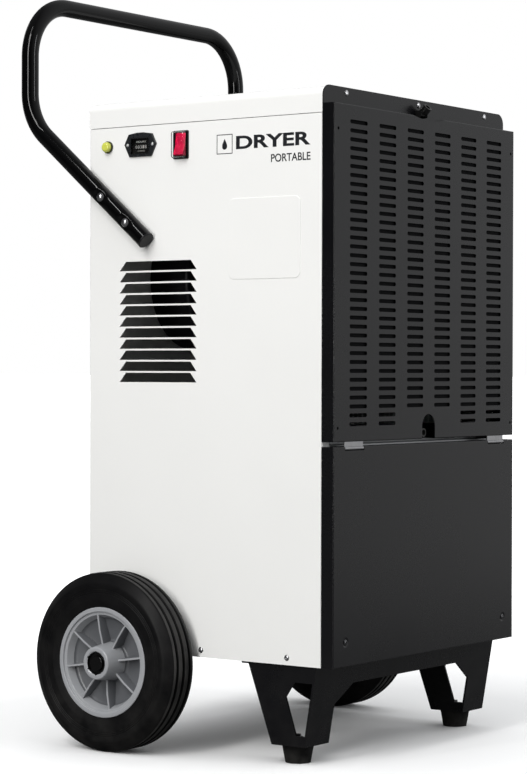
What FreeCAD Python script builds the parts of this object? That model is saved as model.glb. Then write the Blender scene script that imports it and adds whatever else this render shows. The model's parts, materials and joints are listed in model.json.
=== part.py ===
import FreeCAD, Part
import math
import os

# Commercial dehumidifier on two rear wheels and two front feet.
# Millimetres. +Z up, the black air-inlet face looks to -Y, the control side to -X.
# Origin: on the floor, under the centre of the whole object's box.
# Most places along Y are given as a depth behind the front of the steel housing.

V = FreeCAD.Vector
X_AXIS = V(1, 0, 0)
Y_AXIS = V(0, 1, 0)
Z_AXIS = V(0, 0, 1)

# ---- driving dimensions -------------------------------------------------------------
FRONT_Y = -248.5            # front of the steel housing
HOUSING_WIDTH = 475.0
HOUSING_DEPTH = 404.0
HOUSING_BOTTOM = 135.0
LID_SEAM = 877.0            # lower edge of the lid
SEAM_GAP = 0.9              # between the lid and the panels below it
HOUSING_TOP = 912.0
SHEET = 1.5                 # steel sheet of the housing
LID_EDGE_RADIUS = 11.0
FRAME_CORNER_RADIUS = 15.0
FLANGE = 18.0               # inward flanges of the side panels
FIT_GAP = 0.1               # clearance between a screw's shank and its hole

COVER_DEPTH = 20.0          # how far the black covers stand in front of the housing
FRAME_TOP = 914.6
DOOR_BOTTOM = 436.8
DOOR_TOP = 889.0
LOWER_COVER_BOTTOM = 135.0
LOWER_COVER_TOP = 430.4
DOOR_GAP = 0.3              # between the door's rim and the frame behind it

SLOT_LENGTH = 42.5
SLOT_HEIGHT = 5.5
SLOT_PITCH_X = 71.7
SLOT_PITCH_Z = 11.95
SLOT_COLUMNS = 6
SLOT_ROWS = 35
SLOT_ROWS_CENTRE = 33       # the two middle columns stop above the notch
SLOT_TOP_Z = 866.5
NOTCH_HALF_WIDTH = 17.0
NOTCH_TOP = 471.3
DIP_HALF_WIDTH = 43.0
DIP_DEPTH = 4.5

HINGE_DEPTH = -17.5         # door hinge axis
HINGE_Z = 427.9
HINGE_X = 187.5
TAB_WIDTH = 45.0

LATCH_DEPTH = -7.5          # latch pivot
LATCH_Z = 894.0
LATCH_RADIUS = 6.5
LATCH_NECK = 3.0            # from the pivot to the wide part of the knob
LATCH_REACH = 14.0
LATCH_RISE_DEG = 45.0
LATCH_EYE_RADIUS = 4.2

WHEEL_RADIUS = 125.0
WHEEL_DEPTH = 324.3
TYRE_INNER_X = 248.5
TYRE_OUTER_X = 308.5
TYRE_BULGE = 4.0            # how far the side wall stands out past the rim's edge
RIM_RADIUS = 77.0
RIM_FACE_X = 304.6
RIM_BACK_X = 250.0
RIM_LIP = 8.0
WEB_SINK = 22.0             # how far the web lies behind the rim's face
WEB_THICKNESS = 5.0
RIB_COUNT = 8
RIB_THICKNESS = 3.0
RIB_PHASE_DEG = -9.0
HUB_FACE_X = 317.6
HUB_RADIUS = 24.5
HUB_BORE = 14.25
AXLE_RADIUS = 8.0
RUNNING_FIT = 0.05

TUBE_RADIUS = 12.5          # handle
TUBE_WALL = 2.0
HANDLE_X = 250.3
HANDLE_REAR_DEPTH = 506.5
HANDLE_TOP_Z = 1067.0
HANDLE_LOW = (291.3, 714.4)       # depth, height of the arm's lower end
HANDLE_SLOPE_DEG = 40.0
HANDLE_BOLT_DEPTHS = (321.0, 366.0)
KNEE_RADIUS = 85.0
TOP_RADIUS = 80.0

SHELF_Z = 430.0             # shelf between the machine bay and the air duct
FAN_Z = 665.0
FAN_RADIUS = 94.0
GUARD_RADIUS = 107.0
GUARD_RINGS = (26.0, 44.0, 62.0, 80.0, 97.0)
GUARD_WIRE = 1.6
COIL_BOTTOM = 458.0
COIL_TOP = 858.0

LOUVRE_COUNT = 11
LOUVRE_PITCH = 15.7
LOUVRE_TOP = 685.5
LOUVRE_HEIGHT = 13.3
LOUVRE_LONG_EDGE = (210.5, 348.3)
LOUVRE_SHORT_EDGE = (220.9, 336.6)
LOUVRE_LIP = 1.2            # thickness of the blade folded in under each louvre
EMBOSS_DEPTHS = (35.0, 155.0)
EMBOSS_HEIGHTS = (656.7, 767.3)
EMBOSS_RISE = 0.7
EMBOSS_CORNER = 9.0

SWITCH_DEPTHS = (224.5, 251.0)
SWITCH_HEIGHTS = (826.0, 865.5)
SWITCH_BEZEL = 2.0
SWITCH_CENTRE_DEPTH = sum(SWITCH_DEPTHS) / 2
SWITCH_CENTRE_Z = sum(SWITCH_HEIGHTS) / 2
BOOT_REACH = 11.0           # how far the clear boot stands off the panel
BOOT_HALF = (11.3, 18.5)
BOOT_WALL = 1.2
ROCKER_HALF_WIDTH = 8.5
ROCKER_TILT_DEG = 12.0
ROCKER_PIN_RADIUS = 1.5

METER_DEPTH = 309.5
METER_Z = 849.7
METER_RISE = 3.2
METER_WINDOW_HALF = (16.5, 11.25)
METER_WINDOW_Z = METER_Z - 1.8
METER_CASE_HALF = (18.0, 12.5)
METER_SCREW_REACH = 22.4
METER_SCREW_SHANK = 1.3

LAMP_DEPTH = 369.0
LAMP_Z = 849.0
LAMP_COLLAR = 3.0
LAMP_LENS_RADIUS = 7.25

PIN_RADIUS = 1.25           # door hinge pins
LUG_THICKNESS = 2.2
LATCH_PIN_RADIUS = 1.5

BRACKET_X = 233.0           # front foot bracket
BRACKET_SHEET = 3.0
LEG_X = 176.0               # inner edge of each leg
LEG_DEPTH_TOP = 124.0
LEG_DEPTH_BOTTOM = 84.0
LEAN_TOP = 9.9              # depth of the leaning front plate at its top and at its foot
LEAN_BOTTOM = 28.8
FOLD_REACH = 42.0           # rear edge of the fold under the base pan
SIDE_FOLD_WIDTH = 28.0
FOOT_X = 204.9
FOOT_DEPTH = 59.6
FOOT_HEIGHT = 25.0
FOOT_PLATE_TOP = FOOT_HEIGHT + BRACKET_SHEET

GLAND_X = -150.0
GLAND_Z = 215.0
GLAND_THREAD = 8.0
GLAND_BORE = 4.5

SPOUT_RADIUS = 6.0
SPOUT_Z = 445.0
PIPE_RADIUS = 5.0
PIPE_X = 222.0
PIPE_RISER_DEPTHS = (175.0, 215.0)
FIN_COUNT = 34
FIN_PITCH = 11.6
FIN_THICKNESS = 0.6
COIL_TUBES = 10
COIL_TUBE_RADIUS = 5.0
EVAPORATOR_DEPTHS = (42.0, 88.0)
CONDENSER_DEPTHS = (102.0, 148.0)

COMPRESSOR_X = 90.0
COMPRESSOR_DEPTH = 205.0
COMPRESSOR_RADIUS = 72.0
COMPRESSOR_BOTTOM = 162.0
COMPRESSOR_HEIGHT = 200.0

HALF_WIDTH = HOUSING_WIDTH / 2
REAR_DEPTH = HOUSING_DEPTH
INNER_X = HALF_WIDTH - SHEET
PANEL_TOP = LID_SEAM - SEAM_GAP
ROCKER_PIVOT_X = -HALF_WIDTH + 1.5
HANDLE_RISE = math.tan(math.radians(HANDLE_SLOPE_DEG))
HANDLE_BOLTS = [(depth, HANDLE_LOW[1] + (depth - HANDLE_LOW[0]) * HANDLE_RISE)
                for depth in HANDLE_BOLT_DEPTHS]


# ---- helpers ------------------------------------------------------------------------
def at(depth):
    """Y of a place given as a depth behind the housing's front."""
    return FRONT_Y + depth


def block(x_range, depth_range, z_range):
    """Box between two X, two depths and two heights."""
    corner = V(x_range[0], at(depth_range[0]), z_range[0])
    return Part.makeBox(x_range[1] - x_range[0], depth_range[1] - depth_range[0],
                        z_range[1] - z_range[0], corner)


def rod(radius, start, end):
    """Round bar between two points."""
    run = end - start
    return Part.makeCylinder(radius, run.Length, start, run)


def pipe(outer, inner, start, end):
    """Round tube between two points."""
    return rod(outer, start, end).cut(rod(inner, start, end))


def prism_x(points, x_range):
    """Outline of (depth, z) points, extruded along X."""
    corners = [V(x_range[0], at(depth), z) for depth, z in points]
    face = Part.Face(Part.makePolygon(corners + corners[:1]))
    return face.extrude(V(x_range[1] - x_range[0], 0, 0))


def prism_y(points, depth_range):
    """Outline of (x, z) points, extruded along Y."""
    corners = [V(x, at(depth_range[0]), z) for x, z in points]
    face = Part.Face(Part.makePolygon(corners + corners[:1]))
    return face.extrude(V(0, depth_range[1] - depth_range[0], 0))


def join(shapes):
    """One solid from touching solids."""
    whole = shapes[0].multiFuse(shapes[1:])
    return whole.removeSplitter()


def group(shapes):
    """Separate solids kept together in one node."""
    return Part.makeCompound(shapes)


def mirrored(shape):
    """The same piece on the other side of the object."""
    return shape.mirror(V(0, 0, 0), X_AXIS)


def both_sides(shape):
    """A piece and its mirror image."""
    return group([shape, mirrored(shape)])


def edges_along(shape, axis, keep):
    """Straight edges parallel to an axis whose middle passes a test."""
    found = []
    for edge in shape.Edges:
        direction = edge.Vertexes[-1].Point - edge.Vertexes[0].Point
        if direction.Length < 1e-6:
            continue
        if abs(direction.normalize().dot(axis)) > 0.999 and keep(edge.CenterOfMass):
            found.append(edge)
    return found


def rounded(shape, axis, radius, keep=lambda centre: True):
    """Round the edges that run along one axis."""
    return shape.makeFillet(radius, edges_along(shape, axis, keep))


def hex_nut(across_flats, height, bore, base, axis):
    """Plain hexagon nut."""
    radius = across_flats / math.sqrt(3)
    turn = FreeCAD.Rotation(Z_AXIS, axis)
    corners = [base + turn.multVec(V(radius * math.cos(k * math.pi / 3),
                                     radius * math.sin(k * math.pi / 3), 0)) for k in range(6)]
    face = Part.Face(Part.makePolygon(corners + corners[:1]))
    body = face.extrude(axis * height)
    return body.cut(Part.makeCylinder(bore, height, base, axis))


def dome_screw(head_radius, head_height, shank_radius, shank_length, seat, outward):
    """Screw with a domed head on a seat; the shank runs against outward."""
    ball = (head_radius ** 2 + head_height ** 2) / (2 * head_height)
    dome = Part.makeSphere(ball, seat + outward * (head_height - ball))
    head = dome.common(Part.makeCylinder(head_radius, head_height + 1, seat, outward))
    shank = Part.makeCylinder(shank_radius, shank_length, seat, outward * -1)
    return head.fuse(shank).removeSplitter()


def rounded_path(points, radii):
    """Straight runs joined by tangent arcs, as one wire."""
    edges = []
    last = points[0]
    for index, radius in enumerate(radii, start=1):
        corner = points[index]
        back = (points[index - 1] - corner).normalize()
        onward = (points[index + 1] - corner).normalize()
        half_angle = back.getAngle(onward) / 2
        reach = radius / math.tan(half_angle)
        start = corner + back * reach
        end = corner + onward * reach
        middle_way = (back + onward).normalize()
        centre = corner + middle_way * (radius / math.sin(half_angle))
        edges.append(Part.LineSegment(last, start).toShape())
        edges.append(Part.Arc(start, centre - middle_way * radius, end).toShape())
        last = end
    edges.append(Part.LineSegment(last, points[-1]).toShape())
    return Part.Wire(edges)


def bent_rod(radius, points, radii):
    """Round bar that follows a rounded path."""
    path = rounded_path(points, radii)
    ring = Part.Wire(Part.makeCircle(radius, points[0], points[1] - points[0]))
    return path.makePipeShell([ring], True, False)


def bent_pipe(outer, inner, points, radii):
    """Round tube that follows a rounded path."""
    return bent_rod(outer, points, radii).cut(bent_rod(inner, points, radii))


# ---- fastener places ----------------------------------------------------------------
FLANGE_SCREWS = [V(x, at(-SHEET), 907.0) for x in (-182.0, 0.0, 182.0)]
COVER_SCREWS = [V(x, at(-COVER_DEPTH), 168.0) for x in (-208.0, 208.0)]
SIDE_SCREW_SPOTS = ((55.9, 144.8), (201.7, 144.8))
REAR_SCREWS = [V(x, at(REAR_DEPTH), z) for x in (-228.0, 228.0) for z in (160.0, 400.0, 640.0, 860.0)]
SCREW_SHANK = 2.0


# ---- steel housing ------------------------------------------------------------------
def base_pan():
    """Floor tray of the housing."""
    pan = rounded(block((-INNER_X, INNER_X), (SHEET, 400.5), (HOUSING_BOTTOM, 155.0)), Z_AXIS, SHEET + FIT_GAP)
    pan = pan.cut(block((-INNER_X + SHEET, INNER_X - SHEET), (2 * SHEET, 399.0), (HOUSING_BOTTOM + 2, 160.0)))
    for depth, z in SIDE_SCREW_SPOTS:
        pan = pan.cut(rod(SCREW_SHANK + FIT_GAP, V(-HALF_WIDTH, at(depth), z), V(HALF_WIDTH, at(depth), z)))
    return pan


def plain_side_panel():
    """Left side panel before its openings: a sheet with front and rear flanges."""
    outer = block((-HALF_WIDTH, -HALF_WIDTH + FLANGE), (0, REAR_DEPTH), (HOUSING_BOTTOM, PANEL_TOP))
    outer = rounded(outer, Z_AXIS, 3.0, lambda c: c.x < -HALF_WIDTH + 1)
    inner = block((-INNER_X, 0), (SHEET, REAR_DEPTH - SHEET), (HOUSING_BOTTOM, PANEL_TOP))
    inner = rounded(inner, Z_AXIS, 1.5, lambda c: c.x < -INNER_X + 1)
    panel = outer.cut(inner)
    holes = [rod(SCREW_SHANK + FIT_GAP, V(-HALF_WIDTH - 1, at(depth), z), V(-HALF_WIDTH + 5, at(depth), z))
             for depth, z in SIDE_SCREW_SPOTS]
    holes += [rod(4.0 + FIT_GAP, V(-HALF_WIDTH - 1, at(depth), z), V(-HALF_WIDTH + 5, at(depth), z))
              for depth, z in HANDLE_BOLTS]
    holes += [rod(SCREW_SHANK + FIT_GAP, place + V(0, 1, 0), place - V(0, 5, 0))
              for place in REAR_SCREWS if place.x < 0]
    return panel.cut(group(holes))


def left_side_panel():
    """Control side: pressed louvres, embossed pad, and cut-outs for the controls."""
    panel = plain_side_panel()
    cutters = []
    blades = []
    for row in range(LOUVRE_COUNT):
        top = LOUVRE_TOP - row * LOUVRE_PITCH
        bottom = top - LOUVRE_HEIGHT
        outline = [(LOUVRE_LONG_EDGE[0], bottom), (LOUVRE_LONG_EDGE[1], bottom),
                   (LOUVRE_SHORT_EDGE[1], top), (LOUVRE_SHORT_EDGE[0], top)]
        cutters.append(prism_x(outline, (-HALF_WIDTH - 1, -HALF_WIDTH + 3)))
        blades.append(block((-INNER_X - 0.2, -INNER_X + LOUVRE_HEIGHT),
                            (LOUVRE_LONG_EDGE[0] + 2, LOUVRE_LONG_EDGE[1] - 2), (bottom - LOUVRE_LIP, bottom)))
    cutters.append(block((-HALF_WIDTH - 1, -HALF_WIDTH + 3), (SWITCH_DEPTHS[0] + 1.4, SWITCH_DEPTHS[1] - 1.4),
                         (SWITCH_HEIGHTS[0] + 1.4, SWITCH_HEIGHTS[1] - 1.4)))
    cutters.append(meter_block((-HALF_WIDTH - 1, -HALF_WIDTH + 3), METER_CASE_HALF, FIT_GAP))
    cutters.append(rod(6.6, V(-HALF_WIDTH - 1, at(LAMP_DEPTH), LAMP_Z),
                       V(-HALF_WIDTH + 3, at(LAMP_DEPTH), LAMP_Z)))
    panel = panel.cut(group(cutters))
    pad = block((-HALF_WIDTH - EMBOSS_RISE, -HALF_WIDTH + 0.5), EMBOSS_DEPTHS, EMBOSS_HEIGHTS)
    pad = rounded(pad, X_AXIS, EMBOSS_CORNER)
    rim = [edge for edge in pad.Edges if edge.BoundBox.XMax < -HALF_WIDTH - EMBOSS_RISE + 0.1]
    pad = pad.makeFillet(EMBOSS_RISE - 0.1, rim)
    return join([panel, pad] + blades)


def right_side_panel():
    """Plain side."""
    return mirrored(plain_side_panel())


def rear_panel():
    """Back sheet with the round air outlet and the cable hole."""
    sheet = block((-INNER_X + SHEET, INNER_X - SHEET), (400.9, 402.4), (HOUSING_BOTTOM + 2.2, PANEL_TOP))
    holes = [rod(FAN_RADIUS + 4, V(0, at(400), FAN_Z), V(0, at(404), FAN_Z))]
    holes.append(rod(GLAND_THREAD + FIT_GAP, V(GLAND_X, at(400), GLAND_Z), V(GLAND_X, at(404), GLAND_Z)))
    holes += [rod(SCREW_SHANK + FIT_GAP, place, place - V(0, 5, 0)) for place in REAR_SCREWS]
    return sheet.cut(group(holes))


def top_cover():
    """Lid: a folded pan with rounded side and rear edges, open at the front and below."""
    outer = block((-HALF_WIDTH, HALF_WIDTH), (0, REAR_DEPTH), (LID_SEAM, HOUSING_TOP))
    rim = [edge for edge in outer.Edges if edge.BoundBox.ZMin > HOUSING_TOP - 1
           and edge.BoundBox.YMax > at(1)]
    outer = outer.makeFillet(LID_EDGE_RADIUS, rim)
    inner = block((-INNER_X, INNER_X), (-5, REAR_DEPTH - SHEET), (LID_SEAM - 5, HOUSING_TOP - SHEET))
    rim = [edge for edge in inner.Edges if edge.BoundBox.ZMin > HOUSING_TOP - SHEET - 1
           and edge.BoundBox.YMax > at(1)]
    inner = inner.makeFillet(LID_EDGE_RADIUS - SHEET, rim)
    return outer.cut(inner)


def front_frame():
    """Black plate that the filter door closes against, with the upstanding top flange."""
    plate = block((-HALF_WIDTH, HALF_WIDTH), (-SHEET, 0), (DOOR_BOTTOM, FRAME_TOP))
    plate = rounded(plate, Y_AXIS, FRAME_CORNER_RADIUS, lambda c: c.z > FRAME_TOP - 20)
    window = block((-212, 212), (-5, 5), (458, 872))
    plate = plate.cut(rounded(window, Y_AXIS, 10.0))
    holes = [rod(2.5 + FIT_GAP, place + V(0, -3, 0), place + V(0, 5, 0)) for place in FLANGE_SCREWS]
    holes.append(rod(SPOUT_RADIUS + 0.2, V(0, at(-5), SPOUT_Z), V(0, at(5), SPOUT_Z)))
    return plate.cut(group(holes))


def mid_shelf():
    """Shelf that carries the coils above the machine bay."""
    shelf = block((-INNER_X, INNER_X), (SHEET, 400.8), (SHELF_Z, SHELF_Z + 2))
    shelf = rounded(shelf, Z_AXIS, SHEET + FIT_GAP)
    passages = [rod(PIPE_RADIUS + 1.5, V(PIPE_X, at(depth), SHELF_Z - 1), V(PIPE_X, at(depth), SHELF_Z + 3))
                for depth in PIPE_RISER_DEPTHS]
    return shelf.cut(group(passages))


# ---- black covers -------------------------------------------------------------------
def cover_box(z_range, rim_depth):
    """Open-backed sheet pan with slightly rounded front edges."""
    outer = block((-HALF_WIDTH, HALF_WIDTH), (-COVER_DEPTH, rim_depth), z_range)
    front_edges = [edge for edge in outer.Edges if edge.BoundBox.YMax < at(-COVER_DEPTH) + 0.1]
    outer = outer.makeFillet(1.4, front_edges)
    inner = block((-INNER_X, INNER_X), (-COVER_DEPTH + SHEET, rim_depth + 1),
                  (z_range[0] + SHEET, z_range[1] - SHEET))
    return outer.cut(inner)


def slot_cutter(x, z):
    """Round-ended slot through the door's face."""
    straight = (SLOT_LENGTH - SLOT_HEIGHT) / 2
    radius = SLOT_HEIGHT / 2
    y = at(-COVER_DEPTH - 1)
    top = Part.LineSegment(V(x - straight, y, z + radius), V(x + straight, y, z + radius)).toShape()
    right = Part.Arc(V(x + straight, y, z + radius), V(x + straight + radius, y, z),
                     V(x + straight, y, z - radius)).toShape()
    low = Part.LineSegment(V(x + straight, y, z - radius), V(x - straight, y, z - radius)).toShape()
    left = Part.Arc(V(x - straight, y, z - radius), V(x - straight - radius, y, z),
                    V(x - straight, y, z + radius)).toShape()
    return Part.Face(Part.Wire([top, right, low, left])).extrude(V(0, SHEET + 2, 0))


def filter_door():
    """Slotted air-inlet door with a notch over the drain and a dip under the latch."""
    door = cover_box((DOOR_BOTTOM, DOOR_TOP), -SHEET - DOOR_GAP)
    cutters = []
    for column in range(SLOT_COLUMNS):
        x = (column - (SLOT_COLUMNS - 1) / 2) * SLOT_PITCH_X
        rows = SLOT_ROWS_CENTRE if abs(x) < SLOT_PITCH_X else SLOT_ROWS
        cutters += [slot_cutter(x, SLOT_TOP_Z - row * SLOT_PITCH_Z) for row in range(rows)]
    for x in (-228.5, 228.5):
        for z in (455.5, 855.0):
            cutters.append(rod(2.1, V(x, at(-25), z), V(x, at(-15), z)))
    arch_z = NOTCH_TOP - NOTCH_HALF_WIDTH
    cutters.append(block((-NOTCH_HALF_WIDTH, NOTCH_HALF_WIDTH), (-25, 0), (DOOR_BOTTOM - 1, arch_z)))
    cutters.append(rod(NOTCH_HALF_WIDTH, V(0, at(-25), arch_z), V(0, at(0), arch_z)))
    dip_radius = (DIP_HALF_WIDTH ** 2 + DIP_DEPTH ** 2) / (2 * DIP_DEPTH)
    dip_z = DOOR_TOP - DIP_DEPTH + dip_radius
    cutters.append(rod(dip_radius, V(0, at(-25), dip_z), V(0, at(0), dip_z)))
    for side in (-1, 1):
        tab_span = sorted((side * (HINGE_X - TAB_WIDTH / 2 - 0.5), side * (HINGE_X + TAB_WIDTH / 2 + 0.5)))
        cutters.append(block(tab_span, (-COVER_DEPTH + SHEET, -14), (DOOR_BOTTOM - 1, DOOR_BOTTOM + SHEET)))
    return door.cut(group(cutters))


def door_hinge_tabs():
    """Two bright steel leaves on the door, each rolled round a hinge pin."""
    span = (-HINGE_X - TAB_WIDTH / 2, -HINGE_X + TAB_WIDTH / 2)
    axis_start = V(span[0], at(HINGE_DEPTH), HINGE_Z)
    axis_end = V(span[1], at(HINGE_DEPTH), HINGE_Z)
    leaf = block(span, (-COVER_DEPTH + SHEET, -COVER_DEPTH + 2 * SHEET), (HINGE_Z, 455.0))
    knuckle = rod(2.5, axis_start, axis_end)
    tab = join([leaf, knuckle]).cut(rod(PIN_RADIUS + RUNNING_FIT, axis_start, axis_end))
    return both_sides(tab)


def door_hinge_pins():
    """Two fixed pins in the lugs of the lower cover."""
    half = TAB_WIDTH / 2 + 1 + LUG_THICKNESS
    pin = rod(PIN_RADIUS, V(-HINGE_X - half, at(HINGE_DEPTH), HINGE_Z),
              V(-HINGE_X + half, at(HINGE_DEPTH), HINGE_Z))
    return both_sides(pin)


def air_filter():
    """Flat filter mat carried behind the door's face."""
    return block((-226, 226), (-17.0, -9.0), (474, 880))


def lower_front_cover():
    """Black machine-bay cover with the hinge notches and lugs along its top edge."""
    cover = cover_box((LOWER_COVER_BOTTOM, LOWER_COVER_TOP), 0)
    cutters = []
    lugs = []
    holes = []
    half = TAB_WIDTH / 2 + 1
    for side in (-1, 1):
        centre = side * HINGE_X
        cutters.append(block((centre - half, centre + half), (-COVER_DEPTH - 1, -14.2), (424.9, 435)))
        for end in (centre - half - LUG_THICKNESS, centre + half):
            lugs.append(block((end, end + LUG_THICKNESS), (-COVER_DEPTH + SHEET, -14.2),
                              (424.0, LOWER_COVER_TOP - SHEET)))
        holes.append(rod(PIN_RADIUS + RUNNING_FIT, V(centre - half - 3, at(HINGE_DEPTH), HINGE_Z),
                         V(centre + half + 3, at(HINGE_DEPTH), HINGE_Z)))
    for place in COVER_SCREWS:
        cutters.append(rod(SCREW_SHANK + FIT_GAP, place + V(0, -2, 0), place + V(0, 5, 0)))
        cutters.append(Part.makeCone(7.0, 4.5, 0.8, place - V(0, 0.001, 0), Y_AXIS))
    return join([cover.cut(group(cutters))] + lugs).cut(group(holes))


# ---- latch --------------------------------------------------------------------------
def latch_knob():
    """Short black tube that tips up to free the door; its front end is hollow."""
    pivot = V(0, at(LATCH_DEPTH), LATCH_Z)
    rise = math.radians(LATCH_RISE_DEG)
    forward = V(0, -math.cos(rise), math.sin(rise))
    tip = pivot + forward * LATCH_REACH
    half = LATCH_RADIUS + 2
    eye = rod(LATCH_EYE_RADIUS, pivot - X_AXIS * LATCH_RADIUS, pivot + X_AXIS * LATCH_RADIUS)
    knob = join([rod(LATCH_RADIUS, pivot + forward * LATCH_NECK, tip), eye])
    knob = knob.cut(rod(3.9, pivot + forward * (LATCH_NECK + 3), tip + forward))
    return knob.cut(rod(LATCH_PIN_RADIUS + RUNNING_FIT, pivot - X_AXIS * half, pivot + X_AXIS * half))


def latch_bracket():
    """Two ears on the frame with the latch's pin between them."""
    ears = []
    for x in (-LATCH_RADIUS - 2.2, LATCH_RADIUS + 0.4):
        ear = block((x, x + 1.8), (-12.0, -SHEET), (LATCH_Z - 5, LATCH_Z + 5))
        ears.append(rounded(ear, X_AXIS, 4.0, lambda c: c.y < at(-11)))
    half = LATCH_RADIUS + 2.2
    pin = rod(LATCH_PIN_RADIUS, V(-half, at(LATCH_DEPTH), LATCH_Z), V(half, at(LATCH_DEPTH), LATCH_Z))
    return join(ears + [pin])


# ---- screws -------------------------------------------------------------------------
def flange_screws():
    """Bright pan-head screws along the frame's top flange."""
    return group([dome_screw(4.5, 2.2, 2.5, SHEET - 0.1, place, Y_AXIS * -1) for place in FLANGE_SCREWS])


def cover_screws():
    """Domed screws in the lower cover's corner dimples."""
    dimple = V(0, 0.8, 0)
    return group([dome_screw(4.4, 2.4, SCREW_SHANK, 6.0, place + dimple, Y_AXIS * -1)
                  for place in COVER_SCREWS])


def panel_screws():
    """Screws that hold the side panels to the base pan and to the rear panel."""
    screws = []
    for depth, z in SIDE_SCREW_SPOTS:
        screws.append(dome_screw(4.2, 1.8, SCREW_SHANK, 4.0, V(-HALF_WIDTH, at(depth), z), X_AXIS * -1))
        screws.append(dome_screw(4.2, 1.8, SCREW_SHANK, 4.0, V(HALF_WIDTH, at(depth), z), X_AXIS))
    screws += [dome_screw(4.2, 1.8, SCREW_SHANK, 4.0, place, Y_AXIS) for place in REAR_SCREWS]
    return group(screws)


# ---- front feet ---------------------------------------------------------------------
def foot_bracket():
    """One folded sheet: leaning front plate, and on each leg's left edge a pierced side plate."""
    outline = [(-BRACKET_X, HOUSING_BOTTOM), (BRACKET_X, HOUSING_BOTTOM), (BRACKET_X, FOOT_HEIGHT),
               (LEG_X, FOOT_HEIGHT), (LEG_X, 78), (136, 104), (-136, 104), (-LEG_X, 78),
               (-LEG_X, FOOT_HEIGHT), (-BRACKET_X, FOOT_HEIGHT)]
    leaning = prism_x([(LEAN_TOP, HOUSING_BOTTOM), (LEAN_TOP + BRACKET_SHEET, HOUSING_BOTTOM),
                       (LEAN_BOTTOM + BRACKET_SHEET, FOOT_HEIGHT), (LEAN_BOTTOM, FOOT_HEIGHT)],
                      (-BRACKET_X, BRACKET_X))
    pieces = [leaning.common(prism_y(outline, (0, 60)))]
    fold_heights = (HOUSING_BOTTOM - BRACKET_SHEET, HOUSING_BOTTOM)
    pieces.append(block((-BRACKET_X, BRACKET_X), (LEAN_TOP + 1, FOLD_REACH), fold_heights))
    side_outline = [(LEAN_TOP, HOUSING_BOTTOM), (LEG_DEPTH_TOP, HOUSING_BOTTOM),
                    (LEG_DEPTH_BOTTOM, FOOT_HEIGHT), (LEAN_BOTTOM, FOOT_HEIGHT)]
    window = [(0, 111.8), (46.9, 111.8), (60.6, 91.2), (43.6, 39.7), (0, 39.7)]
    for edge_x, foot_x in ((-BRACKET_X, -FOOT_X), (LEG_X, FOOT_X)):
        side = prism_x(side_outline, (edge_x, edge_x + BRACKET_SHEET))
        pieces.append(side.cut(prism_x(window, (edge_x - 1, edge_x + BRACKET_SHEET + 1))))
        side_fold = block((edge_x, edge_x + SIDE_FOLD_WIDTH), (LEAN_TOP + 1, LEG_DEPTH_TOP + 10.7), fold_heights)
        pieces.append(side_fold)
        plate = block((edge_x, edge_x + BRACKET_X - LEG_X), (LEAN_BOTTOM, LEG_DEPTH_BOTTOM),
                      (FOOT_HEIGHT, FOOT_PLATE_TOP))
        pieces.append(plate.cut(rod(4.1, V(foot_x, at(FOOT_DEPTH), 0), V(foot_x, at(FOOT_DEPTH), 60))))
    return join(pieces)


def rubber_feet():
    """Two tapered rubber feet with a recess for the bolt's head."""
    centre = V(-FOOT_X, at(FOOT_DEPTH), 0)
    foot = Part.makeCone(17.5, 22.0, FOOT_HEIGHT, centre, Z_AXIS)
    foot = foot.cut(Part.makeCylinder(8.5, 10, centre, Z_AXIS))
    foot = foot.cut(Part.makeCylinder(4.0, FOOT_HEIGHT, centre, Z_AXIS))
    return both_sides(foot)


def foot_bolts():
    """Bolts up through the feet and the foot plates."""
    centre = V(-FOOT_X, at(FOOT_DEPTH), 0)
    head = Part.makeCylinder(7.0, 6, centre + V(0, 0, 4), Z_AXIS)
    shank = Part.makeCylinder(4.0, 29, centre + V(0, 0, 9), Z_AXIS)
    return both_sides(join([head, shank]))


def foot_nuts():
    """Nuts on the foot plates."""
    seat = V(-FOOT_X, at(FOOT_DEPTH), FOOT_PLATE_TOP)
    return both_sides(hex_nut(13.0, 6.5, 4.0, seat, Z_AXIS))


# ---- wheels and axle ----------------------------------------------------------------
def on_axle(x):
    """Point on the axle's line."""
    return V(x, at(WHEEL_DEPTH), WHEEL_RADIUS)


def turned(points):
    """Outline of (x, radius) points, turned about the axle."""
    corners = [V(x, at(WHEEL_DEPTH), WHEEL_RADIUS + radius) for x, radius in points]
    face = Part.Face(Part.makePolygon(corners + corners[:1]))
    return face.revolve(on_axle(0), X_AXIS, 360)


def axle():
    """Straight axle with the two collars that space the wheels from the housing."""
    shaft = rod(AXLE_RADIUS, on_axle(-313.5), on_axle(313.5))
    collars = [rod(12.0, on_axle(side * (HALF_WIDTH + 0.5)), on_axle(side * (RIM_BACK_X - 0.4)))
               for side in (-1, 1)]
    return join([shaft] + collars)


def axle_brackets():
    """Two folded brackets under the base pan that carry the axle."""
    brackets = []
    for x in (-235.0, -160.0):
        cheek = prism_x([(WHEEL_DEPTH - 40, 135), (WHEEL_DEPTH + 40, 135), (WHEEL_DEPTH + 16, 108),
                         (WHEEL_DEPTH - 16, 108)], (x, x + 3))
        brackets.append(cheek)
    web = block((-235.0, -157.0), (WHEEL_DEPTH - 40, WHEEL_DEPTH + 40), (133.2, 135))
    bracket = join(brackets + [web]).cut(rod(AXLE_RADIUS, on_axle(-240), on_axle(-150)))
    return both_sides(bracket)


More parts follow.
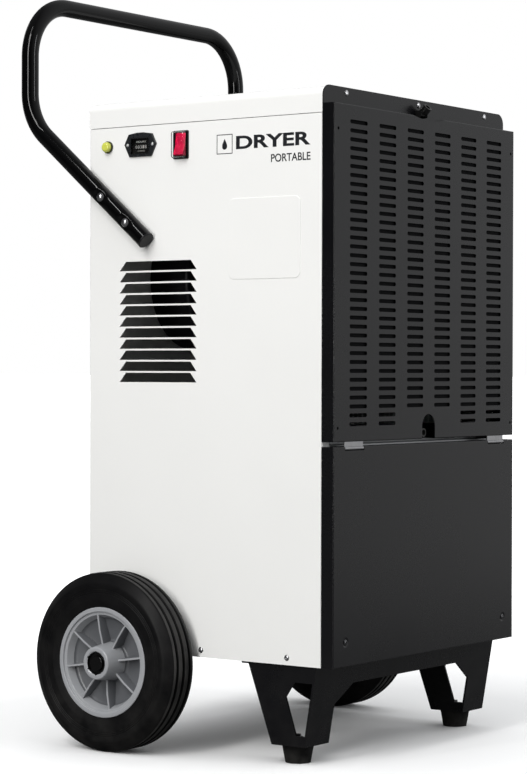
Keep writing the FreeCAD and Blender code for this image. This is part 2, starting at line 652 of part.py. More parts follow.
def wheel_rim():
    """Left rim in one turned outline: stepped lip, dished web and long hub, with thin ribs."""
    web_x = -RIM_FACE_X + WEB_SINK
    body = turned([(-RIM_FACE_X, RIM_RADIUS), (-RIM_FACE_X, RIM_RADIUS - RIM_LIP),
                   (-RIM_FACE_X + 2.3, RIM_RADIUS - RIM_LIP - 1), (-RIM_FACE_X + 2.3, RIM_RADIUS - RIM_LIP - 3),
                   (web_x - 4, RIM_RADIUS - RIM_LIP - 8), (web_x, HUB_RADIUS + 2),
                   (-RIM_FACE_X - 2, HUB_RADIUS), (-HUB_FACE_X, HUB_RADIUS - 1.6), (-HUB_FACE_X, HUB_BORE),
                   (-RIM_BACK_X, HUB_BORE), (-RIM_BACK_X, HUB_RADIUS), (web_x + WEB_THICKNESS, HUB_RADIUS),
                   (web_x + 1, RIM_RADIUS - 10), (-RIM_BACK_X, RIM_RADIUS - 5), (-RIM_BACK_X, RIM_RADIUS)])
    ribs = []
    for index in range(RIB_COUNT):
        rib = block((-RIM_FACE_X + 3.0, web_x + 1.5),
                    (WHEEL_DEPTH - RIB_THICKNESS / 2, WHEEL_DEPTH + RIB_THICKNESS / 2),
                    (WHEEL_RADIUS + HUB_RADIUS - 1, WHEEL_RADIUS + RIM_RADIUS - RIM_LIP - 2.5))
        rib.rotate(on_axle(0), X_AXIS, RIB_PHASE_DEG + 360 / RIB_COUNT * index)
        ribs.append(rib)
    return join([body] + ribs)


def tyre():
    """Left tyre: solid rubber, its wall bulging past the rim, with three grooves round the tread."""
    wall_x = -TYRE_OUTER_X + TYRE_BULGE
    body = turned([(wall_x, RIM_RADIUS), (-TYRE_OUTER_X + 0.8, RIM_RADIUS + 9),
                   (-TYRE_OUTER_X, RIM_RADIUS + 20), (-TYRE_OUTER_X, 116), (-TYRE_OUTER_X + 3.5, 122.5),
                   (-TYRE_OUTER_X + 10, WHEEL_RADIUS), (-TYRE_INNER_X - 10, WHEEL_RADIUS),
                   (-TYRE_INNER_X - 3.5, 122.5), (-TYRE_INNER_X, 116), (-TYRE_INNER_X, RIM_RADIUS)])
    middle = (TYRE_INNER_X + TYRE_OUTER_X) / 2
    grooves = []
    for offset in (-12.5, 0.0, 12.5):
        x = -middle + offset
        grooves.append(turned([(x - 2.5, 130), (x - 1.8, 121), (x + 1.8, 121), (x + 2.5, 130)]))
    return body.cut(group(grooves))


def wheel_bearings():
    """Left wheel's two bearings."""
    outer = pipe(HUB_BORE, AXLE_RADIUS + RUNNING_FIT, on_axle(-313.2), on_axle(-301.0))
    inner = pipe(HUB_BORE, AXLE_RADIUS + RUNNING_FIT, on_axle(-RIM_BACK_X - 12), on_axle(-RIM_BACK_X))
    return group([outer, inner])


def axle_caps():
    """Black caps on the axle's ends."""
    cap = rod(11.0, on_axle(-313.5), on_axle(-316.8))
    rim = [edge for edge in cap.Edges if edge.BoundBox.XMax < -316.7]
    return both_sides(cap.makeFillet(1.5, rim))


# ---- handle -------------------------------------------------------------------------
def handle_points():
    """Corner points of the handle's tube before its bends."""
    knee_z = HANDLE_LOW[1] + (HANDLE_REAR_DEPTH - HANDLE_LOW[0]) * HANDLE_RISE
    left = [V(-HANDLE_X, at(HANDLE_LOW[0]), HANDLE_LOW[1]),
            V(-HANDLE_X, at(HANDLE_REAR_DEPTH), knee_z),
            V(-HANDLE_X, at(HANDLE_REAR_DEPTH), HANDLE_TOP_Z)]
    return left + [V(-point.x, point.y, point.z) for point in reversed(left)]


def handle_tube():
    """Bent round tube with flattened seats for its four bolts."""
    radii = [KNEE_RADIUS, TOP_RADIUS, TOP_RADIUS, KNEE_RADIUS]
    solid = bent_rod(TUBE_RADIUS, handle_points(), radii)
    tube = solid.cut(bent_rod(TUBE_RADIUS - TUBE_WALL, handle_points(), radii))
    seat_x = HANDLE_X + TUBE_RADIUS - 3.0
    cutters = []
    floors = []
    holes = []
    for side in (-1, 1):
        for depth, z in HANDLE_BOLTS:
            centre = V(side * seat_x, at(depth), z)
            outward = X_AXIS * side
            cutters.append(Part.makeCone(8.0, 10.5, 4.0, centre, outward))
            floors.append(Part.makeCylinder(9.0, TUBE_WALL, centre, outward * -1).common(solid))
            holes.append(Part.makeCylinder(4.1, 40, centre + outward * 5, outward * -1))
    return join([tube.cut(group(cutters))] + floors).cut(group(holes))


def handle_end_plugs():
    """Plastic plugs in the tube's lower ends."""
    start, knee = handle_points()[:2]
    along = (knee - start).normalize()
    stem = rod(TUBE_RADIUS - TUBE_WALL, start, start + along * 14)
    lip = rod(TUBE_RADIUS, start - along * 2.5, start)
    rim = [edge for edge in lip.Edges if edge.CenterOfMass.z < start.z - 1.2]
    return both_sides(join([stem, lip.makeFillet(1.2, rim[:1])]))


def handle_bolts():
    """Dome-head bolts through the handle and the side panels."""
    bolts = []
    for side in (-1, 1):
        for depth, z in HANDLE_BOLTS:
            seat = V(side * (HANDLE_X + TUBE_RADIUS - 3.0), at(depth), z)
            bolts.append(dome_screw(6.4, 3.8, 4.0, 33.0, seat, X_AXIS * side))
    return group(bolts)


def handle_nuts():
    """Nuts inside the housing on the handle's bolts."""
    nuts = []
    for side in (-1, 1):
        for depth, z in HANDLE_BOLTS:
            nuts.append(hex_nut(13.0, 6.5, 4.0, V(side * INNER_X, at(depth), z), X_AXIS * -side))
    return group(nuts)


# ---- controls -----------------------------------------------------------------------
def switch_body():
    """Rocker switch: bezel on the panel and the contact block behind it."""
    bezel = block((-HALF_WIDTH - SWITCH_BEZEL, -HALF_WIDTH), SWITCH_DEPTHS, SWITCH_HEIGHTS)
    bezel = rounded(bezel, X_AXIS, 2.0)
    rear = block((-HALF_WIDTH, -HALF_WIDTH + 26), (SWITCH_DEPTHS[0] + 1.5, SWITCH_DEPTHS[1] - 1.5),
                 (SWITCH_HEIGHTS[0] + 1.5, SWITCH_HEIGHTS[1] - 1.5))
    well = block((-HALF_WIDTH - 3, -HALF_WIDTH + 15),
                 (SWITCH_CENTRE_DEPTH - ROCKER_HALF_WIDTH - 0.5, SWITCH_CENTRE_DEPTH + ROCKER_HALF_WIDTH + 0.5),
                 (SWITCH_CENTRE_Z - 17.2, SWITCH_CENTRE_Z + 17.2))
    return join([bezel, rear]).cut(well).cut(switch_pivot())


def switch_pivot():
    """Pin the rocker tilts on."""
    return rod(ROCKER_PIN_RADIUS, V(ROCKER_PIVOT_X, at(SWITCH_CENTRE_DEPTH - 10.5), SWITCH_CENTRE_Z),
               V(ROCKER_PIVOT_X, at(SWITCH_CENTRE_DEPTH + 10.5), SWITCH_CENTRE_Z))


def switch_rocker():
    """Red rocker, resting with its lower end out."""
    outline = [(-6.5, -15.5), (-4.2, 0.0), (-6.5, 15.5), (1.0, 15.5), (6.0, 5.0), (6.0, -5.0), (1.0, -15.5)]
    start = at(SWITCH_CENTRE_DEPTH - ROCKER_HALF_WIDTH)
    corners = [V(ROCKER_PIVOT_X + x, start, SWITCH_CENTRE_Z + z) for x, z in outline]
    rocker = Part.Face(Part.makePolygon(corners + corners[:1])).extrude(V(0, 2 * ROCKER_HALF_WIDTH, 0))
    pivot = V(ROCKER_PIVOT_X, at(SWITCH_CENTRE_DEPTH), SWITCH_CENTRE_Z)
    rocker = rocker.cut(rod(ROCKER_PIN_RADIUS + RUNNING_FIT, pivot - Y_AXIS * 20, pivot + Y_AXIS * 20))
    rocker.rotate(pivot, Y_AXIS, ROCKER_TILT_DEG)
    return rocker


def boot_block(x_range, shrink):
    """Block the size of the boot, drawn in all round by shrink."""
    half_depth = BOOT_HALF[0] - shrink
    half_height = BOOT_HALF[1] - shrink
    return block(x_range, (SWITCH_CENTRE_DEPTH - half_depth, SWITCH_CENTRE_DEPTH + half_depth),
                 (SWITCH_CENTRE_Z - half_height, SWITCH_CENTRE_Z + half_height))


def switch_boot():
    """Clear splash boot over the rocker."""
    outer = boot_block((-HALF_WIDTH - BOOT_REACH, -HALF_WIDTH - SWITCH_BEZEL), 0)
    outer = outer.makeFillet(3.0, [edge for edge in outer.Edges if edge.BoundBox.XMin < -HALF_WIDTH - 3
                                   or edge.BoundBox.XMax - edge.BoundBox.XMin > 1])
    inner = boot_block((-HALF_WIDTH - BOOT_REACH + BOOT_WALL, -HALF_WIDTH), BOOT_WALL)
    inner = inner.makeFillet(1.8, [edge for edge in inner.Edges if edge.BoundBox.XMin < -HALF_WIDTH - 9])
    return outer.cut(inner)


def meter_block(x_range, half, gap=0.0):
    """Block centred on the hour meter's window."""
    return block(x_range, (METER_DEPTH - half[0] - gap, METER_DEPTH + half[0] + gap),
                 (METER_WINDOW_Z - half[1] - gap, METER_WINDOW_Z + half[1] + gap))


def meter_screw_spots():
    """Places of the meter's two screws on its bezel."""
    return [V(-HALF_WIDTH - METER_RISE, at(METER_DEPTH + reach), METER_Z)
            for reach in (-METER_SCREW_REACH, METER_SCREW_REACH)]


def hour_meter_body():
    """Hour meter: six-sided bezel with a window pocket, and the case behind the panel."""
    outline = [(-28.5, 0.5), (-21.0, 15.0), (-6.0, 17.2), (6.0, 17.2), (21.0, 15.0), (28.5, 0.5),
               (19.5, -17.0), (-19.5, -17.0)]
    points = [(METER_DEPTH + depth, METER_Z + z) for depth, z in outline]
    bezel = prism_x(points, (-HALF_WIDTH - METER_RISE, -HALF_WIDTH))
    face_edges = [edge for edge in bezel.Edges if edge.BoundBox.XMax < -HALF_WIDTH - METER_RISE + 0.1]
    bezel = bezel.makeFillet(1.0, face_edges)
    case = meter_block((-HALF_WIDTH, -HALF_WIDTH + 30), METER_CASE_HALF)
    pocket = meter_block((-HALF_WIDTH - 4, -HALF_WIDTH + 2), METER_WINDOW_HALF)
    holes = [rod(METER_SCREW_SHANK, spot, spot + V(METER_RISE, 0, 0)) for spot in meter_screw_spots()]
    return join([bezel, case]).cut(group([pocket] + holes))


def hour_meter_face():
    """Dark counter face in the meter's pocket."""
    return meter_block((-HALF_WIDTH, -HALF_WIDTH + 1.0), METER_WINDOW_HALF)


def hour_meter_window():
    """Clear pane over the counter face."""
    return meter_block((-HALF_WIDTH - 2.8, -HALF_WIDTH - 1.8), METER_WINDOW_HALF)


def hour_meter_screws():
    """Two small screws in the meter's bezel."""
    return group([dome_screw(2.6, 1.3, METER_SCREW_SHANK, 3.0, spot, X_AXIS * -1)
                  for spot in meter_screw_spots()])


def indicator_body():
    """Lamp holder: collar on the panel and barrel behind it."""
    centre = V(-HALF_WIDTH, at(LAMP_DEPTH), LAMP_Z)
    return join([rod(8.6, centre - V(LAMP_COLLAR, 0, 0), centre), rod(6.5, centre, centre + V(24, 0, 0))])


def indicator_lens():
    """Domed yellow-green lens."""
    seat = V(-HALF_WIDTH - LAMP_COLLAR, at(LAMP_DEPTH), LAMP_Z)
    lens = Part.makeCylinder(LAMP_LENS_RADIUS, 6.5, seat, X_AXIS * -1)
    rim = [edge for edge in lens.Edges if edge.BoundBox.XMax < -HALF_WIDTH - 9.4]
    return lens.makeFillet(4.0, rim)


def cable_gland():
    """Cable gland in the rear panel, with nothing in its bore."""
    centre = V(GLAND_X, at(402.4), GLAND_Z)
    thread = rod(GLAND_THREAD, centre - V(0, 12, 0), centre)
    flange = hex_nut(24.0, 5.0, GLAND_BORE, centre, Y_AXIS)
    nose = Part.makeCone(11.0, 7.5, 16.0, centre + V(0, 5, 0), Y_AXIS)
    bore = rod(GLAND_BORE, centre - V(0, 20, 0), centre + V(0, 30, 0))
    return join([thread, flange, nose]).cut(bore)


# ---- air path and refrigeration -----------------------------------------------------
def coil_tube_heights():
    """Heights of a coil's straight tubes."""
    pitch = (COIL_TOP - COIL_BOTTOM) / COIL_TUBES
    return [COIL_BOTTOM + pitch * (index + 0.5) for index in range(COIL_TUBES)]


def coil_fins(depths):
    """Stack of thin fins pierced by the coil's tubes."""
    fin = block((-FIN_THICKNESS / 2, FIN_THICKNESS / 2), depths, (COIL_BOTTOM, COIL_TOP))
    middle = sum(depths) / 2
    holes = [rod(COIL_TUBE_RADIUS, V(-5, at(middle), z), V(5, at(middle), z)) for z in coil_tube_heights()]
    fin = fin.cut(group(holes))
    fins = []
    for index in range(FIN_COUNT):
        piece = fin.copy()
        piece.translate(V((index - (FIN_COUNT - 1) / 2) * FIN_PITCH, 0, 0))
        fins.append(piece)
    return group(fins)


def coil_tubes(depths):
    """One serpentine tube, back and forth through the fins."""
    y = at(sum(depths) / 2)
    heights = coil_tube_heights()
    reach = 208.0
    points = [V(-200.0, y, heights[0])]
    side = 1
    for low, high in zip(heights[:-1], heights[1:]):
        points.append(V(side * reach, y, low))
        points.append(V(side * reach, y, high))
        side = -side
    points.append(V(200.0 * side, y, heights[-1]))
    return bent_rod(COIL_TUBE_RADIUS, points, [14.0] * (len(points) - 2))


def drip_tray():
    """Tray under both coils."""
    tray = block((-214, 214), (30, 160), (SHELF_Z + 2, 453))
    tray = tray.cut(block((-212.5, 212.5), (31.5, 158.5), (SHELF_Z + 3.5, 460)))
    return tray.cut(rod(SPOUT_RADIUS, V(0, at(20), SPOUT_Z), V(0, at(50), SPOUT_Z)))


def drain_spout():
    """Drain pipe from the tray to the notch in the door."""
    return pipe(SPOUT_RADIUS, 4.5, V(0, at(-12), SPOUT_Z), V(0, at(34), SPOUT_Z))


def fan_ring():
    """Fan shroud with four arms to the motor's clamp."""
    shroud = pipe(FAN_RADIUS + 8, FAN_RADIUS + 3, V(0, at(330), FAN_Z), V(0, at(400.9), FAN_Z))
    clamp = pipe(52, 46, V(0, at(322), FAN_Z), V(0, at(342), FAN_Z))
    arms = []
    for index in range(4):
        arm = block((-8, 8), (330, 340), (FAN_Z + 49, FAN_Z + FAN_RADIUS + 5))
        arm.rotate(V(0, 0, FAN_Z), Y_AXIS, 45 + 90 * index)
        arms.append(arm)
    return join([shroud, clamp] + arms)


def fan_blade():
    """Axial impeller with five pitched blades on a hub."""
    hub = rod(34, V(0, at(350), FAN_Z), V(0, at(386), FAN_Z))
    blades = []
    for index in range(5):
        blade = Part.makeBox(FAN_RADIUS - 32, 3.0, 60.0, V(31, -1.5, -30))
        blade.rotate(V(0, 0, 0), X_AXIS, 58)
        blade.translate(V(0, at(368), FAN_Z))
        blade.rotate(V(0, 0, FAN_Z), Y_AXIS, 72 * index)
        blades.append(blade)
    wheel = join([hub] + blades)
    wheel = wheel.common(rod(FAN_RADIUS, V(0, at(348), FAN_Z), V(0, at(392), FAN_Z)))
    return wheel.cut(rod(5.0, V(0, at(340), FAN_Z), V(0, at(380), FAN_Z)))


def fan_shaft():
    """Motor shaft that carries the impeller."""
    return rod(5.0, V(0, at(300), FAN_Z), V(0, at(380), FAN_Z))


def fan_motor():
    """Fan motor with a bore for its shaft."""
    case = rod(46, V(0, at(262), FAN_Z), V(0, at(343), FAN_Z))
    ends = [edge for edge in case.Edges if edge.BoundBox.YMax - edge.BoundBox.YMin < 1e-3]
    case = case.makeFillet(5.0, ends)
    return case.cut(rod(5.0 + RUNNING_FIT, V(0, at(299), FAN_Z), V(0, at(350), FAN_Z)))


def fan_guard():
    """Wire guard over the air outlet."""
    rings = [Part.makeTorus(radius, GUARD_WIRE, V(0, at(408.4), FAN_Z), Y_AXIS) for radius in GUARD_RINGS]
    wires = []
    for index in range(8):
        angle = math.radians(22.5 + 45 * index)
        outward = V(math.cos(angle), 0, math.sin(angle))
        hub = V(0, at(406.0), FAN_Z)
        wires.append(rod(GUARD_WIRE, hub + outward * GUARD_RINGS[0], hub + outward * (GUARD_RADIUS - 3)))
    rim = pipe(GUARD_RADIUS, GUARD_RADIUS - 7, V(0, at(402.4), FAN_Z), V(0, at(405.2), FAN_Z))
    return join([rim] + wires + rings)


def beside_compressor(dx, dy, z):
    """Point given from the compressor's centre line."""
    return V(COMPRESSOR_X + dx, at(COMPRESSOR_DEPTH) + dy, z)


def can(radius, height, z, fillet):
    """Upright can with rounded ends on the compressor's centre line."""
    body = Part.makeCylinder(radius, height, beside_compressor(0, 0, z), Z_AXIS)
    ends = [edge for edge in body.Edges if edge.BoundBox.ZMax - edge.BoundBox.ZMin < 1e-3]
    return body.makeFillet(fillet, ends)


def compressor_shell():
    """Welded compressor can on its foot plate."""
    shell = can(COMPRESSOR_RADIUS, COMPRESSOR_HEIGHT, COMPRESSOR_BOTTOM, 28)
    hollow = can(COMPRESSOR_RADIUS - 8, COMPRESSOR_HEIGHT - 16, COMPRESSOR_BOTTOM + 8, 22)
    plate = Part.makeBox(180, 150, 4, beside_compressor(-90, -75, COMPRESSOR_BOTTOM - 2))
    return join([shell, rounded(plate, Z_AXIS, 18.0)]).cut(hollow)


def compressor_grommets():
    """Four rubber mounts under the compressor's foot plate."""
    return group([Part.makeCylinder(12, 23, beside_compressor(dx, dy, HOUSING_BOTTOM + 2), Z_AXIS)
                  for dx in (-72, 72) for dy in (-57, 57)])


def refrigerant_pipes():
    """Suction, discharge and liquid lines."""
    top = COMPRESSOR_BOTTOM + COMPRESSOR_HEIGHT
    evaporator_y = at(sum(EVAPORATOR_DEPTHS) / 2)
    condenser_y = at(sum(CONDENSER_DEPTHS) / 2)
    front_y, rear_y = (at(depth) for depth in PIPE_RISER_DEPTHS)
    suction = [beside_compressor(35, 10, top), beside_compressor(35, 10, 400), V(PIPE_X, rear_y, 400),
               V(PIPE_X, rear_y, 640), V(PIPE_X, evaporator_y, 640)]
    discharge = [beside_compressor(35, -16, top), beside_compressor(35, -16, 385), V(PIPE_X, front_y, 385),
                 V(PIPE_X, front_y, 740), V(PIPE_X, condenser_y, 740)]
    liquid = [V(-PIPE_X, condenser_y, 500), V(-PIPE_X, at(180), 500), V(-PIPE_X, at(180), 560),
              V(-PIPE_X, evaporator_y, 560)]
    routes = [(suction, 14.0), (discharge, 9.0), (liquid, 16.0)]
    return group([bent_rod(PIPE_RADIUS, route, [radius] * (len(route) - 2)) for route, radius in routes])


def electrical_box():
    """Sealed box for the run capacitor and the terminals."""
    case = block((-205, -60), (250, 385), (180, 330))
    return rounded(case, Z_AXIS, 6.0)


# ---- write every node ---------------------------------------------------------------
def build_nodes():
    """Every sub-part by the name of its node."""
    rim = wheel_rim()
    rubber = tyre()
    bearings = wheel_bearings()
    makers = [base_pan, left_side_panel, right_side_panel, rear_panel, top_cover, front_frame, mid_shelf,
              filter_door, door_hinge_tabs, door_hinge_pins, air_filter, lower_front_cover,
              latch_knob, latch_bracket, flange_screws, cover_screws, panel_screws,
              foot_bracket, rubber_feet, foot_bolts, foot_nuts, axle, axle_brackets, axle_caps,
              handle_tube, handle_end_plugs, handle_bolts, handle_nuts,
              switch_body, switch_pivot, switch_rocker, switch_boot,
              hour_meter_body, hour_meter_face, hour_meter_window, hour_meter_screws,
              indicator_body, indicator_lens, cable_gland, drip_tray, drain_spout,
              fan_ring, fan_blade, fan_shaft, fan_motor, fan_guard,
              compressor_shell, compressor_grommets, refrigerant_pipes, electrical_box]
    nodes = {maker.__name__: maker() for maker in makers}
    nodes["wheel_rim_left"] = rim
    nodes["wheel_rim_right"] = mirrored(rim)
    nodes["tyre_left"] = rubber
    nodes["tyre_right"] = mirrored(rubber)
    nodes["wheel_bearings_left"] = bearings
    nodes["wheel_bearings_right"] = mirrored(bearings)
    nodes["evaporator_fins"] = coil_fins(EVAPORATOR_DEPTHS)
    nodes["evaporator_tubes"] = coil_tubes(EVAPORATOR_DEPTHS)
    nodes["condenser_fins"] = coil_fins(CONDENSER_DEPTHS)
    nodes["condenser_tubes"] = coil_tubes(CONDENSER_DEPTHS)
    return nodes


os.makedirs("parts", exist_ok=True)
for name, shape in build_nodes().items():
    box = shape.BoundBox
    print(f"{name:24s} solids {len(shape.Solids):3d} valid {shape.isValid()}"
          f"  x {box.XMin:.1f} {box.XMax:.1f} y {box.YMin:.1f} {box.YMax:.1f} z {box.ZMin:.1f} {box.ZMax:.1f}")
    shape.exportStep(f"parts/{name}.step")
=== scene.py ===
"""Looks of a commercial dehumidifier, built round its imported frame.

Every finish is a frozen dataclass, every sub-assembly a class that builds its meshes and dresses its
nodes, and main() builds them in order. Lengths are in metres, in the frame of the model.
"""

import json
import logging
import math
from dataclasses import dataclass, field
from enum import Enum
from typing import Optional, Sequence

import bmesh
import bpy
from mathutils import Matrix, Vector


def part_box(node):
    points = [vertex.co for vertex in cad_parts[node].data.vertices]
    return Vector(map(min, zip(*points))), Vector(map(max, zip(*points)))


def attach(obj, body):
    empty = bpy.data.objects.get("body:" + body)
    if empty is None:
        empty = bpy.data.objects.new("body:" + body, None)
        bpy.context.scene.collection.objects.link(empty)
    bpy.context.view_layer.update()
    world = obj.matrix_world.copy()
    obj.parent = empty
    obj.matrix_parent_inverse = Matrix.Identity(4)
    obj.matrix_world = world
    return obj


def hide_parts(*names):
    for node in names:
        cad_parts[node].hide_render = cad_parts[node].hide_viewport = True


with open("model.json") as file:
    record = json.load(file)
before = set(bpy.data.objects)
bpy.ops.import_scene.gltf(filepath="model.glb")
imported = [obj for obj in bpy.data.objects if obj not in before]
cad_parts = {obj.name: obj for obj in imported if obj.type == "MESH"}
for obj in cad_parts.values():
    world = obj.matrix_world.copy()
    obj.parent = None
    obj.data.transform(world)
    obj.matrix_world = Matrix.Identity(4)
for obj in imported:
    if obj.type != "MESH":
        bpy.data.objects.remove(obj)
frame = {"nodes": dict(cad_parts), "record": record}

LOG = logging.getLogger("dehumidifier")
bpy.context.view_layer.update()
MERGE_DISTANCE = 1e-6
BREAK_STEPS = 2
BREAK_ANGLE_DEG = 40
WHITE = (1.0, 1.0, 1.0, 1.0)

Colour = tuple[float, float, float]
Point2 = tuple[float, float]


# ---- node helpers -------------------------------------------------------------------
class Graph:
    """Short ways to add and join nodes in one tree."""

    OCTAVE_SHARE = 0.55
    MIX_UNDER, MIX_OVER, MIX_RESULT = 6, 7, 2   # places of the colour sockets of a Mix node

    def __init__(self, tree: bpy.types.NodeTree) -> None:
        """Keep the tree that nodes are added to."""
        self.tree = tree

    def add(self, kind: str, **settings: object) -> bpy.types.Node:
        """Add a node and set its properties.

        Args:
            kind: Blender's type name of the node.
            settings: property names and values.

        Returns:
            The new node.
        """
        node = self.tree.nodes.new(kind)
        for key, value in settings.items():
            setattr(node, key, value)
        return node

    def put(self, socket: bpy.types.NodeSocket, value: object) -> None:
        """Link a socket to another one, or set its plain value.

        Args:
            socket: the input to fill.
            value: a plain value, or a socket to link from.
        """
        if isinstance(value, bpy.types.NodeSocket):
            self.join(value, socket)
        else:
            socket.default_value = value

    def join(self, source: bpy.types.NodeSocket, target: bpy.types.NodeSocket) -> None:
        """Link one socket to another."""
        self.tree.links.new(source, target)

    def feed(self, node: bpy.types.Node, **inputs: object) -> bpy.types.Node:
        """Set or link a node's inputs by name, with _ standing for a space.

        Args:
            node: the node to feed.
            inputs: a plain value, or a socket to link from.

        Returns:
            The same node.
        """
        for key, value in inputs.items():
            self.put(node.inputs[key.replace("_", " ")], value)
        return node

    def noise(self, where: bpy.types.NodeSocket, scale: object, detail: float) -> bpy.types.NodeSocket:
        """Noise value between 0 and 1.

        Args:
            where: vector socket the noise is read at.
            scale: number, or a socket that holds it.
            detail: octaves.

        Returns:
            The value socket.
        """
        node = self.add("ShaderNodeTexNoise")
        self.feed(node, Vector=where, Scale=scale, Detail=detail, Roughness=self.OCTAVE_SHARE)
        return node.outputs["Fac"]

    def maths(self, operation: str, first: object, second: object = 0.0,
              clamp: bool = False) -> bpy.types.NodeSocket:
        """One maths step.

        Args:
            operation: Blender's name of the operation.
            first: number or socket.
            second: number or socket.
            clamp: keep the result between 0 and 1.

        Returns:
            The result's socket.
        """
        node = self.add("ShaderNodeMath", operation=operation, use_clamp=clamp)
        self.put(node.inputs[0], first)
        self.put(node.inputs[1], second)
        return node.outputs[0]

    def span(self, value: bpy.types.NodeSocket, low: float, high: float,
             to_low: float = 0.0, to_high: float = 1.0) -> bpy.types.NodeSocket:
        """Map one range onto another, clamped.

        Args:
            value: socket to map.
            low: start of the incoming range.
            high: end of the incoming range.
            to_low: result at low.
            to_high: result at high.

        Returns:
            The mapped socket.
        """
        node = self.add("ShaderNodeMapRange")
        self.feed(node, Value=value, From_Min=low, From_Max=high, To_Min=to_low, To_Max=to_high)
        return node.outputs["Result"]

    def blend(self, mask: bpy.types.NodeSocket, under: object, over: object) -> bpy.types.NodeSocket:
        """Mix two colours by a mask.

        Args:
            mask: 0 shows under, 1 shows over.
            under: colour or socket.
            over: colour or socket.

        Returns:
            The mixed colour's socket.
        """
        node = self.add("ShaderNodeMix", data_type="RGBA")
        self.join(mask, node.inputs[0])
        for index, value in ((self.MIX_UNDER, under), (self.MIX_OVER, over)):
            self.put(node.inputs[index], (*value, 1.0) if isinstance(value, tuple) else value)
        return node.outputs[self.MIX_RESULT]


def new_group(name: str, inputs: dict[str, float], outputs: Sequence[str]) -> tuple[Graph, dict, dict]:
    """Start a shader node group.

    Args:
        name: the group's name.
        inputs: names and defaults of its number inputs, after the Position vector.
        outputs: names of its value outputs.

    Returns:
        The graph, its input sockets by name and its output sockets by name.
    """
    tree = bpy.data.node_groups.new(name, "ShaderNodeTree")
    tree.interface.new_socket("Position", in_out="INPUT", socket_type="NodeSocketVector")
    for key, default in inputs.items():
        tree.interface.new_socket(key, in_out="INPUT", socket_type="NodeSocketFloat").default_value = default
    for key in outputs:
        tree.interface.new_socket(key, in_out="OUTPUT", socket_type="NodeSocketFloat")
    graph = Graph(tree)
    start = graph.add("NodeGroupInput")
    end = graph.add("NodeGroupOutput")
    return graph, {s.name: s for s in start.outputs if s.name}, {s.name: s for s in end.inputs if s.name}


class Relief(Enum):
    """Kinds of fine surface relief, each one a node group."""

    PEEL = "powder_coat_peel"
    GRAIN = "moulded_grain"
    BRUSH = "drawn_lines"
    WEAVE = "mat_weave"


@dataclass(frozen=True)
class Carving:
    """A relief with its scale and its depth in metres."""

    kind: Relief
    scale: float = 500.0
    depth: float = 0.00002


